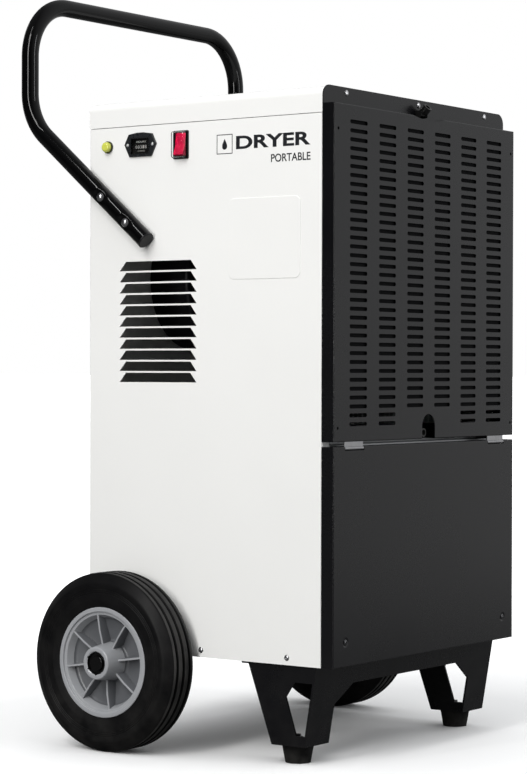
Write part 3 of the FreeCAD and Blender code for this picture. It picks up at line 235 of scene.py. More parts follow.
class Effects:
    """Shader node groups that several finishes share."""

    def __init__(self) -> None:
        """Build every group once."""
        self.relief = {
            Relief.PEEL: self._peel(),
            Relief.GRAIN: self._grain(),
            Relief.BRUSH: self._brush(),
            Relief.WEAVE: self._weave(),
        }
        self.tone = self._tone()
        self.wear = self._wear()
        self.dust = self._dust()

    def _peel(self) -> bpy.types.NodeTree:
        """Soft orange peel of powder coat, with a finer speckle on it."""
        graph, given, result = new_group(Relief.PEEL.value, {"Scale": 500.0}, ["Height"])
        coarse = graph.noise(given["Position"], given["Scale"], 1.0)
        fine = graph.noise(given["Position"], graph.maths("MULTIPLY", given["Scale"], 3.1), 2.0)
        mixed = graph.maths("MULTIPLY_ADD", coarse, 0.75)
        graph.join(graph.maths("MULTIPLY", fine, 0.25), mixed.node.inputs[2])
        graph.join(mixed, result["Height"])
        return graph.tree

    def _grain(self) -> bpy.types.NodeTree:
        """Spark-eroded grain of a plastic moulding."""
        graph, given, result = new_group(Relief.GRAIN.value, {"Scale": 1200.0}, ["Height"])
        cells = graph.add("ShaderNodeTexVoronoi", feature="SMOOTH_F1")
        graph.feed(cells, Vector=given["Position"], Scale=given["Scale"], Smoothness=0.4)
        rough = graph.noise(given["Position"], given["Scale"], 3.0)
        graph.join(graph.maths("MULTIPLY", cells.outputs["Distance"], rough), result["Height"])
        return graph.tree

    def _brush(self) -> bpy.types.NodeTree:
        """Fine parallel lines of drawn or rolled metal."""
        graph, given, result = new_group(Relief.BRUSH.value, {"Scale": 400.0}, ["Height"])
        stretch = graph.add("ShaderNodeVectorMath", operation="MULTIPLY")
        graph.join(given["Position"], stretch.inputs[0])
        stretch.inputs[1].default_value = (1.0, 1.0, 0.05)
        graph.join(graph.noise(stretch.outputs[0], given["Scale"], 3.0), result["Height"])
        return graph.tree

    def _weave(self) -> bpy.types.NodeTree:
        """Open weave of crossed threads."""
        graph, given, result = new_group(Relief.WEAVE.value, {"Scale": 300.0}, ["Height"])
        parts = graph.add("ShaderNodeSeparateXYZ")
        graph.join(given["Position"], parts.inputs[0])
        waves = []
        for axis in ("X", "Z"):
            phase = graph.maths("MULTIPLY", parts.outputs[axis], given["Scale"])
            waves.append(graph.maths("ABSOLUTE", graph.maths("SINE", phase)))
        graph.join(graph.maths("MULTIPLY", waves[0], waves[1]), result["Height"])
        return graph.tree

    def _tone(self) -> bpy.types.NodeTree:
        """Slow drift of tone over a part, with a little fine speckle."""
        graph, given, result = new_group("tone_drift", {"Scale": 6.0}, ["Mask"])
        slow = graph.noise(given["Position"], given["Scale"], 2.0)
        fine = graph.noise(given["Position"], graph.maths("MULTIPLY", given["Scale"], 40.0), 3.0)
        total = graph.maths("ADD", graph.maths("MULTIPLY", slow, 0.7), graph.maths("MULTIPLY", fine, 0.3))
        graph.join(graph.span(total, 0.3, 0.7), result["Mask"])
        return graph.tree

    def _wear(self) -> bpy.types.NodeTree:
        """Rubbed edges: high where the surface turns sharply, broken up by noise."""
        graph, given, result = new_group("edge_wear", {"Width": 0.0012, "Amount": 0.5}, ["Mask"])
        bevel = graph.add("ShaderNodeBevel", samples=3)
        graph.join(given["Width"], bevel.inputs["Radius"])
        geometry = graph.add("ShaderNodeNewGeometry")
        facing = graph.add("ShaderNodeVectorMath", operation="DOT_PRODUCT")
        graph.join(bevel.outputs["Normal"], facing.inputs[0])
        graph.join(geometry.outputs["Normal"], facing.inputs[1])
        edge = graph.span(facing.outputs["Value"], 0.995, 0.9)
        patches = graph.span(graph.noise(given["Position"], 60.0, 5.0), 0.5, 0.62)
        graph.join(graph.maths("MULTIPLY", graph.maths("MULTIPLY", edge, patches), given["Amount"]),
                   result["Mask"])
        return graph.tree

    def _dust(self) -> bpy.types.NodeTree:
        """Thin dust that thickens towards the floor."""
        graph, given, result = new_group("floor_dust", {"Height": 0.2, "Amount": 0.2}, ["Mask"])
        parts = graph.add("ShaderNodeSeparateXYZ")
        graph.join(given["Position"], parts.inputs[0])
        low = graph.maths("DIVIDE", parts.outputs["Z"], given["Height"])
        fall = graph.span(low, 0.0, 1.0, 1.0, 0.0)
        cloud = graph.span(graph.noise(given["Position"], 35.0, 6.0), 0.35, 0.75)
        graph.join(graph.maths("MULTIPLY", graph.maths("MULTIPLY", fall, cloud), given["Amount"]),
                   result["Mask"])
        return graph.tree


# ---- finishes -----------------------------------------------------------------------
@dataclass(frozen=True)
class Finish:
    """One finish of the object, made into a material.

    Attributes hold the shader's plain values, then the strength of each shared effect.
    """

    name: str
    colour: Colour
    roughness: float
    metallic: float = 0.0
    specular: float = 0.5
    coat: float = 0.0
    coat_roughness: float = 0.08
    transmission: float = 0.0
    ior: float = 1.5
    tone: float = 0.04
    tone_scale: float = 6.0
    relief: Optional[Carving] = None
    wear: float = 0.0
    wear_colour: Colour = (0.35, 0.35, 0.34)
    dust: float = 0.0
    dust_height: float = 0.25
    rough_drift: float = 0.05

    def material(self, effects: Effects) -> bpy.types.Material:
        """Build the material.

        Args:
            effects: the shared node groups.

        Returns:
            The finished material.
        """
        made = bpy.data.materials.new(self.name)
        made.use_nodes = True
        made.node_tree.nodes.clear()
        graph = Graph(made.node_tree)
        place = graph.add("ShaderNodeTexCoord").outputs["Object"]
        shader = graph.add("ShaderNodeBsdfPrincipled")
        graph.feed(shader, Metallic=self.metallic, Coat_Weight=self.coat, Coat_Roughness=self.coat_roughness,
                   Specular_IOR_Level=self.specular, Transmission_Weight=self.transmission, IOR=self.ior)
        drift = self._effect(graph, effects.tone, place, Scale=self.tone_scale)
        darker = tuple(c * (1.0 - self.tone) for c in self.colour)
        lighter = tuple(min(1.0, c * (1.0 + self.tone)) for c in self.colour)
        shade = graph.blend(drift.outputs["Mask"], darker, lighter)
        rough = graph.span(drift.outputs["Mask"], 0.0, 1.0, self.roughness - self.rough_drift,
                           self.roughness + self.rough_drift)
        if self.wear > 0:
            rubbed = self._effect(graph, effects.wear, place, Amount=self.wear)
            shade = graph.blend(rubbed.outputs["Mask"], shade, self.wear_colour)
        if self.dust > 0:
            settled = self._effect(graph, effects.dust, place, Height=self.dust_height, Amount=self.dust)
            shade = graph.blend(settled.outputs["Mask"], shade, DUST_COLOUR)
            rough = graph.maths("ADD", rough, settled.outputs["Mask"], clamp=True)
        graph.feed(shader, Base_Color=shade, Roughness=rough)
        if self.relief is not None:
            carved = self._effect(graph, effects.relief[self.relief.kind], place, Scale=self.relief.scale)
            bump = graph.add("ShaderNodeBump")
            graph.feed(bump, Strength=1.0, Distance=self.relief.depth, Height=carved.outputs["Height"])
            graph.join(bump.outputs["Normal"], shader.inputs["Normal"])
        graph.join(shader.outputs["BSDF"], graph.add("ShaderNodeOutputMaterial").inputs["Surface"])
        return made

    @staticmethod
    def _effect(graph: Graph, group: bpy.types.NodeTree, place: bpy.types.NodeSocket,
                **values: float) -> bpy.types.Node:
        """Place a shared group with this finish's own values."""
        node = graph.add("ShaderNodeGroup", node_tree=group)
        return graph.feed(node, Position=place, **values)


DUST_COLOUR: Colour = (0.42, 0.40, 0.37)

FINISHES: dict[str, Finish] = {
    "housing_white": Finish("white powder coat", (0.83, 0.83, 0.815), 0.38, tone=0.01,
        relief=Carving(Relief.PEEL, 420.0, 0.000016), coat=0.08, coat_roughness=0.3, dust=0.04,
        dust_height=0.3),
    "cover_black": Finish("black powder coat", (0.0028, 0.0028, 0.0036), 0.26, tone=0.12,
        relief=Carving(Relief.PEEL, 480.0, 0.00001), wear=0.2, wear_colour=(0.05, 0.05, 0.052), dust=0.02,
        dust_height=0.16, specular=0.3),
    "handle_black": Finish("black gloss enamel", (0.0018, 0.0018, 0.002), 0.07, tone=0.1,
        rough_drift=0.01, specular=0.2),
    "moulded_black": Finish("black moulding", (0.007, 0.007, 0.008), 0.36, tone=0.1,
        relief=Carving(Relief.GRAIN, 1400.0, 0.00002), specular=0.2),
    "motor_black": Finish("black motor enamel", (0.008, 0.008, 0.009), 0.4, tone=0.15,
        relief=Carving(Relief.PEEL, 300.0, 0.00003)),
    "rim_grey": Finish("grey rim moulding", (0.31, 0.318, 0.334), 0.3, tone=0.06, tone_scale=18.0,
        relief=Carving(Relief.GRAIN, 900.0, 0.00002), dust=0.10, dust_height=0.35, wear=0.4,
        wear_colour=(0.5, 0.51, 0.52), coat=0.3),
    "tyre": Finish("tyre rubber", (0.004, 0.004, 0.0044), 0.42, tone=0.18, tone_scale=14.0,
        relief=Carving(Relief.GRAIN, 700.0, 0.00003), wear=0.2, wear_colour=(0.03, 0.03, 0.03), dust=0.03,
        dust_height=0.3, specular=0.08),
    "rubber": Finish("foot rubber", (0.004, 0.004, 0.004), 0.55, tone=0.15,
        relief=Carving(Relief.GRAIN, 800.0, 0.00003), dust=0.1, dust_height=0.04, specular=0.1),
    "bright_steel": Finish("bright zinc", (0.6, 0.6, 0.61), 0.27, metallic=1.0, tone=0.08,
        tone_scale=60.0, relief=Carving(Relief.BRUSH, 900.0, 0.00001)),
    "dark_steel": Finish("black zinc", (0.12, 0.12, 0.125), 0.26, metallic=1.0, tone=0.1, tone_scale=60.0,
        relief=Carving(Relief.BRUSH, 900.0, 0.00001)),
    "galvanised": Finish("galvanised sheet", (0.48, 0.49, 0.5), 0.42, metallic=1.0, tone=0.2,
        tone_scale=30.0, relief=Carving(Relief.BRUSH, 300.0, 0.00002)),
    "switch_red": Finish("red rocker", (0.82, 0.012, 0.075), 0.2, tone=0.1, transmission=0.08, ior=1.49,
        coat=0.6, relief=Carving(Relief.GRAIN, 900.0, 0.00001)),
    "clear_plastic": Finish("clear plastic", (0.97, 0.98, 0.98), 0.05, transmission=1.0, ior=1.15,
        tone=0.01, rough_drift=0.02, coat=0.2),
    "lens_green": Finish("yellow-green lens", (0.76, 0.80, 0.13), 0.2, transmission=0.2, ior=1.49,
        tone=0.05, coat=0.4),
    "lamp_olive": Finish("lamp holder", (0.016, 0.02, 0.005), 0.3, tone=0.1,
        relief=Carving(Relief.GRAIN, 1500.0, 0.00001)),
    "meter_grey": Finish("meter case", (0.014, 0.0155, 0.017), 0.3, tone=0.08,
        relief=Carving(Relief.GRAIN, 1600.0, 0.00001), specular=0.3),
    "meter_face": Finish("meter face", (0.003, 0.003, 0.0035), 0.35, tone=0.1),
    "fin_aluminium": Finish("fin aluminium", (0.6, 0.61, 0.62), 0.35, metallic=1.0, tone=0.12,
        relief=Carving(Relief.BRUSH, 500.0, 0.00002)),
    "copper": Finish("drawn copper", (0.62, 0.29, 0.17), 0.28, metallic=1.0, tone=0.15, tone_scale=30.0,
        relief=Carving(Relief.BRUSH, 500.0, 0.00001)),
    "filter_mat": Finish("filter mat", (0.004, 0.004, 0.0045), 0.9, specular=0.1, tone=0.25,
        tone_scale=40.0, relief=Carving(Relief.WEAVE, 1400.0, 0.0003)),
    "spout_plastic": Finish("drain plastic", (0.03, 0.03, 0.028), 0.45, tone=0.1),
}
LID_WHITE = Finish("white lid coat", (0.83, 0.83, 0.815), 0.36, tone=0.01,
    relief=Carving(Relief.PEEL, 420.0, 0.000016), coat=0.08, coat_roughness=0.3)
BOLT_STEEL = Finish("zinc bolt", (0.34, 0.34, 0.35), 0.3, metallic=1.0, tone=0.1, tone_scale=60.0,
    relief=Carving(Relief.BRUSH, 900.0, 0.00001))
TREAD_RUBBER = Finish("scuffed tread", (0.022, 0.022, 0.022), 0.62, specular=0.2, tone=0.3,
    tone_scale=25.0, relief=Carving(Relief.GRAIN, 500.0, 0.00005), dust=0.15, dust_height=0.3)
PRINT_WHITE = Finish("counter print", (0.6, 0.6, 0.58), 0.5, tone=0.05)
PRINT_DARK = Finish("badge print", (0.010, 0.011, 0.014), 0.35, tone=0.06)
# Black finish of the bearings and the latch; also painted on the rim's own bore and mouth as painted shade.
BEARING_BLACK_AND_BORE_SHADE = Finish("bearing black and bore shade", (0.004, 0.004, 0.004), 0.3, specular=0.2, tone=0.2,
    relief=Carving(Relief.GRAIN))
# Painted shade: a darker grey for the rim's deep web, where shade falls between the ribs.
WEB_PAINTED_SHADE = Finish("web painted shade", (0.1, 0.104, 0.112), 0.35, tone=0.08, tone_scale=18.0,
    relief=Carving(Relief.GRAIN, 900.0, 0.00002))
CAP_BLACK = Finish("glossy cap", (0.002, 0.002, 0.002), 0.14, specular=0.3, tone=0.1)


class Palette:
    """Materials by slot, each made once."""

    def __init__(self) -> None:
        """Make the shared effects and an empty store."""
        self.effects = Effects()
        self.made: dict[str, bpy.types.Material] = {}

    def get(self, finish: Finish) -> bpy.types.Material:
        """The material of a finish, built on first use."""
        if finish.name not in self.made:
            self.made[finish.name] = finish.material(self.effects)
        return self.made[finish.name]

    def dress(self, piece: bpy.types.Object, finish: Finish) -> None:
        """Give a piece one material for its whole surface."""
        piece.data.materials.clear()
        piece.data.materials.append(self.get(finish))


# ---- mesh helpers -------------------------------------------------------------------
def new_piece(name: str, mesh: bpy.types.Mesh, body: str, smooth_deg: float = 35.0) -> bpy.types.Object:
    """Put a mesh in the scene as a piece that rides on a body.

    Args:
        name: the piece's name.
        mesh: its mesh, in the model's frame.
        body: the body that it moves with.
        smooth_deg: edges sharper than this stay crisp.

    Returns:
        The new object.
    """
    piece = bpy.data.objects.new(name, mesh)
    bpy.context.scene.collection.objects.link(piece)
    mesh.shade_smooth()
    mesh.set_sharp_from_angle(angle=math.radians(smooth_deg))
    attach(piece, body)
    return piece


def mesh_from(name: str, shape: bmesh.types.BMesh) -> bpy.types.Mesh:
    """Turn a bmesh into a clean mesh with outward normals.

    Args:
        name: the mesh's name.
        shape: the surface; it is freed.

    Returns:
        The mesh.
    """
    bmesh.ops.remove_doubles(shape, verts=shape.verts, dist=MERGE_DISTANCE)
    bmesh.ops.recalc_face_normals(shape, faces=shape.faces)
    mesh = bpy.data.meshes.new(name)
    shape.to_mesh(mesh)
    shape.free()
    return mesh


def rounded_outline(points: Sequence[tuple[float, float, float]], steps: int = 5) -> list[Point2]:
    """Closed outline with each corner rounded by its own radius.

    Args:
        points: x, y and corner radius of each corner; 0 keeps it sharp.
        steps: segments in each rounded corner.

    Returns:
        The outline's points.
    """
    result: list[Point2] = []
    count = len(points)
    for index, (x, y, radius) in enumerate(points):
        corner = Vector((x, y))
        if radius <= 0:
            result.append((x, y))
            continue
        back = (Vector(points[index - 1][:2]) - corner).normalized()
        onward = (Vector(points[(index + 1) % count][:2]) - corner).normalized()
        half = back.angle(onward) / 2
        reach = radius / math.tan(half)
        centre = corner + (back + onward).normalized() * (radius / math.sin(half))
        start = corner + back * reach - centre
        sweep = corner + onward * reach - centre
        turn = math.atan2(start.x * sweep.y - start.y * sweep.x, start.dot(sweep))
        for step in range(steps + 1):
            angle = turn * step / steps
            result.append((centre.x + start.x * math.cos(angle) - start.y * math.sin(angle),
                           centre.y + start.x * math.sin(angle) + start.y * math.cos(angle)))
    return result


def bridge(shape: bmesh.types.BMesh, rings: Sequence[Sequence[bmesh.types.BMVert]],
           closed: bool = False) -> None:
    """Join neighbouring rings of one length with four-sided faces.

    Args:
        shape: bmesh that receives the faces.
        rings: rings of vertices, in order.
        closed: also join the last ring to the first.
    """
    onward = list(rings[1:]) + ([rings[0]] if closed else [])
    for here, there in zip(rings, onward):
        for index in range(len(here)):
            after = (index + 1) % len(here)
            shape.faces.new((here[index], here[after], there[after], there[index]))


def lathe(shape: bmesh.types.BMesh, outline: Sequence[Point2], centre: Vector, axis: Vector,
          segments: int) -> None:
    """Turn a closed outline round an axis.

    Args:
        shape: bmesh that receives the surface.
        outline: (along, radius) points of a closed outline.
        centre: point on the axis where along is zero.
        axis: direction of the axis.
        segments: steps round the axis.
    """
    axis = axis.normalized()
    side = axis.orthogonal().normalized()
    other = axis.cross(side)
    rings = []
    for step in range(segments):
        angle = 2 * math.pi * step / segments
        out = side * math.cos(angle) + other * math.sin(angle)
        rings.append([shape.verts.new(centre + axis * along + out * radius) for along, radius in outline])
    bridge(shape, rings, closed=True)


def slab(shape: bmesh.types.BMesh, outline: Sequence[Point2], place: Matrix, thickness: float) -> None:
    """Extrude a flat closed outline.

    Args:
        shape: bmesh that receives the solid.
        outline: points in the plane of place.
        place: matrix from outline space (z is the thickness) to the model's frame.
        thickness: extrusion along the outline's z.
    """
    low = [shape.verts.new(place @ Vector((x, y, 0.0))) for x, y in outline]
    high = [shape.verts.new(place @ Vector((x, y, thickness))) for x, y in outline]
    shape.faces.new(low[::-1])
    shape.faces.new(high)
    bridge(shape, (low, high))


def soften(node: bpy.types.Object, width: float) -> None:
    """Break a sheet or moulding's sharp edges so that they catch light.

    Args:
        node: the CAD node.
        width: how far the break reaches from the edge.
    """
    bevel = node.modifiers.new("broken edges", "BEVEL")
    bevel.width = width
    bevel.segments = BREAK_STEPS
    bevel.limit_method = "ANGLE"
    bevel.angle_limit = math.radians(BREAK_ANGLE_DEG)
    bevel.harden_normals = True


def side_place(x: float, y: float, z: float) -> Matrix:
    """Matrix for flat marks on the control side: x to the reader's right, y up, z outwards."""
    return Matrix(((0, 0, -1, x), (-1, 0, 0, y), (0, 1, 0, z), (0, 0, 0, 1)))


def add_word(shape: bmesh.types.BMesh, word: str, place: Matrix, across: Point2, upright: Point2,
             depth: float, weight: float) -> None:
    """Add a word from Blender's own plain font, fitted to a rectangle.

    Args:
        shape: bmesh that receives the letters.
        word: the letters.
        place: matrix from the mark's plane to the model's frame.
        across: left and right edge.
        upright: lower and upper edge.
        depth: thickness of the print.
        weight: how far the strokes are thickened.
    """
    text = bpy.data.curves.new("word", "FONT")
    text.body = word
    text.size = 0.02
    text.offset = weight
    text.extrude = 0.0001
    holder = bpy.data.objects.new("word", text)
    mesh = bpy.data.meshes.new_from_object(holder)
    low = Vector([min(v.co[k] for v in mesh.vertices) for k in range(3)])
    high = Vector([max(v.co[k] for v in mesh.vertices) for k in range(3)])
    for vert in mesh.vertices:
        share = [(vert.co[k] - low[k]) / (high[k] - low[k]) for k in range(3)]
        vert.co = place @ Vector((across[0] + (across[1] - across[0]) * share[0],
                                  upright[0] + (upright[1] - upright[0]) * share[1], depth * share[2]))
    shape.from_mesh(mesh)
    bpy.data.objects.remove(holder)
    bpy.data.meshes.remove(mesh)
    bpy.data.curves.remove(text)


# ---- sub-assemblies -----------------------------------------------------------------
@dataclass
class Studio:
    """Camera, lights, backdrop and floor."""

    camera_at: Vector = field(default_factory=lambda: Vector((-2.8113, -2.0174, 0.5342)))
    yaw_deg: float = 54.08
    pitch_deg: float = -0.441
    roll_deg: float = 0.145
    lens_mm: float = 108.95
    sensor_mm: float = 36.0
    aim_height: float = 0.55
    ahead: Colour = (0.81, -0.587, 0.0)
    floor_size: float = 300.0
    floor_drop: float = 0.0004
    dome_dark: float = 0.015
    dome_side: float = 0.76
    dome_top: float = 1.2
    dome_top_mirrored: float = 0.15
    floor_colour: Colour = (0.95, 0.95, 0.95)
    floor_bounce: Colour = (0.12, 0.12, 0.12)
    floor_glow: float = 0.45
    glow_reach: Point2 = (0.8, 3.2)
    fade_reach: Point2 = (0.5, 2.2)
    side_span: Point2 = (-0.1, 0.95)
    top_span: Point2 = (0.25, 0.95)

    LAMPS = (
        ("side strip", (-3.3, -0.35, 1.8), (0.5, 3.4), 100.0, (1.0, 0.995, 0.985)),
        ("high strip", (-2.4, 0.15, 3.2), (0.12, 1.3), 12.0, (1.0, 1.0, 1.0)),
        ("front strip", (0.45, -3.4, 1.3), (0.3, 2.2), 26.0, (0.97, 0.985, 1.0)),
        ("rear strip", (0.5, 3.4, 1.6), (0.5, 2.0), 4.0, (1.0, 1.0, 1.0)),
    )

    def build(self) -> None:
        """Make the camera, the world, the lights and the floor."""
        self._camera()
        self._world()
        for lamp in self.LAMPS:
            self._lamp(*lamp)
        self._floor()

    def _camera(self) -> None:
        """Place the camera."""
        yaw, pitch, roll = (math.radians(a) for a in (self.yaw_deg, self.pitch_deg, self.roll_deg))
        ahead = Vector((math.sin(yaw) * math.cos(pitch), math.cos(yaw) * math.cos(pitch), math.sin(pitch)))
        right = ahead.cross(Vector((0, 0, 1))).normalized()
        up = right.cross(ahead)
        right, up = (right * math.cos(roll) + up * math.sin(roll),
                     up * math.cos(roll) - right * math.sin(roll))
        data = bpy.data.cameras.new("camera")
        data.lens = self.lens_mm
        data.sensor_width = self.sensor_mm
        camera = bpy.data.objects.new("camera", data)
        turn = Matrix((right, up, -ahead)).transposed().to_4x4()
        camera.matrix_world = Matrix.Translation(self.camera_at) @ turn
        bpy.context.scene.collection.objects.link(camera)
        bpy.context.scene.camera = camera
        bpy.context.scene.view_settings.view_transform = "Standard"

    def _world(self) -> None:
        """White backdrop for the eye; for surfaces a soft dome, bright overhead and to the right."""
        world = bpy.data.worlds.new("studio")
        bpy.context.scene.world = world
        world.use_nodes = True
        world.node_tree.nodes.clear()
        graph = Graph(world.node_tree)
        eye = graph.add("ShaderNodeBackground")
        graph.feed(eye, Color=WHITE, Strength=1.0)
        dome = graph.add("ShaderNodeBackground")
        graph.feed(dome, Color=(0.98, 0.99, 1.0, 1.0), Strength=self._dome_strength(graph))
        mix = graph.add("ShaderNodeMixShader")
        graph.join(graph.add("ShaderNodeLightPath").outputs["Is Camera Ray"], mix.inputs[0])
        graph.join(dome.outputs[0], mix.inputs[1])
        graph.join(eye.outputs[0], mix.inputs[2])
        graph.join(mix.outputs[0], graph.add("ShaderNodeOutputWorld").inputs["Surface"])

    def _dome_strength(self, graph: Graph) -> bpy.types.NodeSocket:
        """Strength of the dome by direction.

        Args:
            graph: the world's nodes.

        Returns:
            The strength's socket.
        """
        direction = graph.add("ShaderNodeTexCoord").outputs["Generated"]
        parts = graph.add("ShaderNodeSeparateXYZ")
        graph.join(direction, parts.inputs[0])
        toward = graph.add("ShaderNodeVectorMath", operation="DOT_PRODUCT")
        graph.join(direction, toward.inputs[0])
        toward.inputs[1].default_value = self.ahead
        side = graph.span(toward.outputs["Value"], *self.side_span, self.dome_dark, self.dome_side)
        height = graph.span(parts.outputs["Z"], *self.top_span)
        mirrored = graph.add("ShaderNodeLightPath").outputs["Is Glossy Ray"]
        share = graph.span(mirrored, 0.0, 1.0, self.dome_top, self.dome_top_mirrored)
        return graph.maths("ADD", side, graph.maths("MULTIPLY", height, share))

    def _lamp(self, name: str, place: Sequence[float], size: Point2, power: float, colour: Colour) -> None:
        """Add a soft rectangular light that faces the object's middle.

        Args:
            name: the light's name.
            place: where it stands.
            size: its width and height.
            power: watts.
            colour: its tint.
        """
        data = bpy.data.lights.new(name, "AREA")
        data.shape = "RECTANGLE"
        data.size, data.size_y = size
        data.energy = power
        data.color = colour
        lamp = bpy.data.objects.new(name, data)
        lamp.location = place
        aim = Vector((0, 0, self.aim_height)) - Vector(place)
        lamp.rotation_euler = aim.to_track_quat("-Z", "Y").to_euler()
        bpy.context.scene.collection.objects.link(lamp)

    def _floor(self) -> None:
        """Plain pale floor that fades into the backdrop with distance."""
        half = self.floor_size / 2
        shape = bmesh.new()
        spots = ((-half, -half), (half, -half), (half, half), (-half, half))
        shape.faces.new([shape.verts.new((x, y, -self.floor_drop)) for x, y in spots])
        mesh = bpy.data.meshes.new("floor")
        shape.to_mesh(mesh)
        shape.free()
        floor = bpy.data.objects.new("floor", mesh)
        bpy.context.scene.collection.objects.link(floor)
        paint = bpy.data.materials.new("pale floor")
        paint.use_nodes = True
        graph = Graph(paint.node_tree)
        shader = paint.node_tree.nodes["Principled BSDF"]
        place = graph.add("ShaderNodeTexCoord").outputs["Object"]
        away = graph.add("ShaderNodeVectorMath", operation="LENGTH")
        graph.join(place, away.inputs[0])
        far = graph.span(away.outputs["Value"], *self.fade_reach)
        seen = graph.add("ShaderNodeLightPath").outputs["Is Camera Ray"]
        beyond = graph.add("ShaderNodeVectorMath", operation="DOT_PRODUCT")
        graph.join(place, beyond.inputs[0])
        beyond.inputs[1].default_value = self.ahead
        lit = graph.span(beyond.outputs["Value"], *self.glow_reach, 0.0, self.floor_glow)
        unseen = graph.maths("SUBTRACT", 1.0, seen)
        glow = graph.maths("ADD", graph.maths("MULTIPLY", far, seen), graph.maths("MULTIPLY", lit, unseen))
        graph.feed(shader, Base_Color=graph.blend(seen, self.floor_bounce, self.floor_colour), Roughness=0.6,
                   Specular_IOR_Level=0.2, Emission_Color=WHITE, Emission_Strength=glow)
        mesh.materials.append(paint)


@dataclass
class Housing:
    """White cabinet, its black covers, and the marks on its side."""

    palette: Palette
    badge_depth: float = 0.00015
    badge_z: float = 0.8425
    badge_front: float = 0.019
    badge_height: float = 0.027
    badge_length: float = 0.157
    badge_line: float = 0.0011
    droplet_share: float = 0.55
    droplet_steps: int = 40
    droplet_pinch: float = 1.4
    droplet_width: float = 0.8
    name_left: float = 0.033
    name_rise: Point2 = (-0.008, 0.010)
    name_weight: float = 0.0006
    kind_left: float = 0.092
    kind_drop: float = 0.023
    kind_half: float = 0.0055
    kind_weight: float = 0.0003

    SOFT_EDGES = {
        "left_side_panel": 0.0006, "right_side_panel": 0.0006, "top_cover": 0.0006, "front_frame": 0.0005,
        "lower_front_cover": 0.0006, "foot_bracket": 0.0006, "mid_shelf": 0.0004, "rear_panel": 0.0005,
        "switch_body": 0.0006, "axle_brackets": 0.0006, "door_hinge_tabs": 0.0003, "electrical_box": 0.001,
    }

    def build(self) -> None:
        """Break the sheet's edges, give the lid its own white coat and print the badge."""
        self.palette.dress(frame["nodes"]["top_cover"], LID_WHITE)
        for name in ("handle_bolts", "door_hinge_tabs"):
            self.palette.dress(frame["nodes"][name], BOLT_STEEL)
        for name in ("latch_knob", "latch_bracket"):
            self.palette.dress(frame["nodes"][name], BEARING_BLACK_AND_BORE_SHADE)
        for name, width in self.SOFT_EDGES.items():
            soften(frame["nodes"][name], width)
        self._badge()

    def _badge(self) -> None:
        """Generic mark on the control side: a droplet in a square and two plain words."""
        face_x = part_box("top_cover")[0].x
        left_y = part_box("top_cover")[0].y + self.badge_front + self.badge_length
        place = side_place(face_x, left_y, self.badge_z)
        shape = bmesh.new()
        side = self.badge_height
        half = side / 2
        line = self.badge_line
        for low, high in (((0, -half), (line, half)), ((side - line, -half), (side, half)),
                          ((0, half - line), (side, half)), ((0, -half), (side, line - half))):
            slab(shape, [low, (high[0], low[1]), high, (low[0], high[1])], place, self.badge_depth)
        slab(shape, self._droplet(half, half * self.droplet_share), place, self.badge_depth)
        add_word(shape, "DRYER", place, (self.name_left, self.badge_length), self.name_rise,
                 self.badge_depth, self.name_weight)
        low_place = side_place(face_x, left_y, self.badge_z - self.kind_drop)
        add_word(shape, "PORTABLE", low_place, (self.kind_left, self.badge_length),
                 (-self.kind_half, self.kind_half), self.badge_depth, self.kind_weight)
        piece = new_piece("side_badge", mesh_from("side_badge", shape), "cabinet")
        self.palette.dress(piece, PRINT_DARK)

    def _droplet(self, x: float, size: float) -> list[Point2]:
        """Droplet outline: a round lower part drawn up to a point.

        Args:
            x: its middle along the badge.
            size: half its height.

        Returns:
            The outline's points.
        """
        points = []
        for step in range(self.droplet_steps):
            angle = 2 * math.pi * step / self.droplet_steps
            pull = math.sin(angle / 2) ** self.droplet_pinch
            points.append((x + size * self.droplet_width * math.sin(angle) * pull, size * math.cos(angle)))
        return points


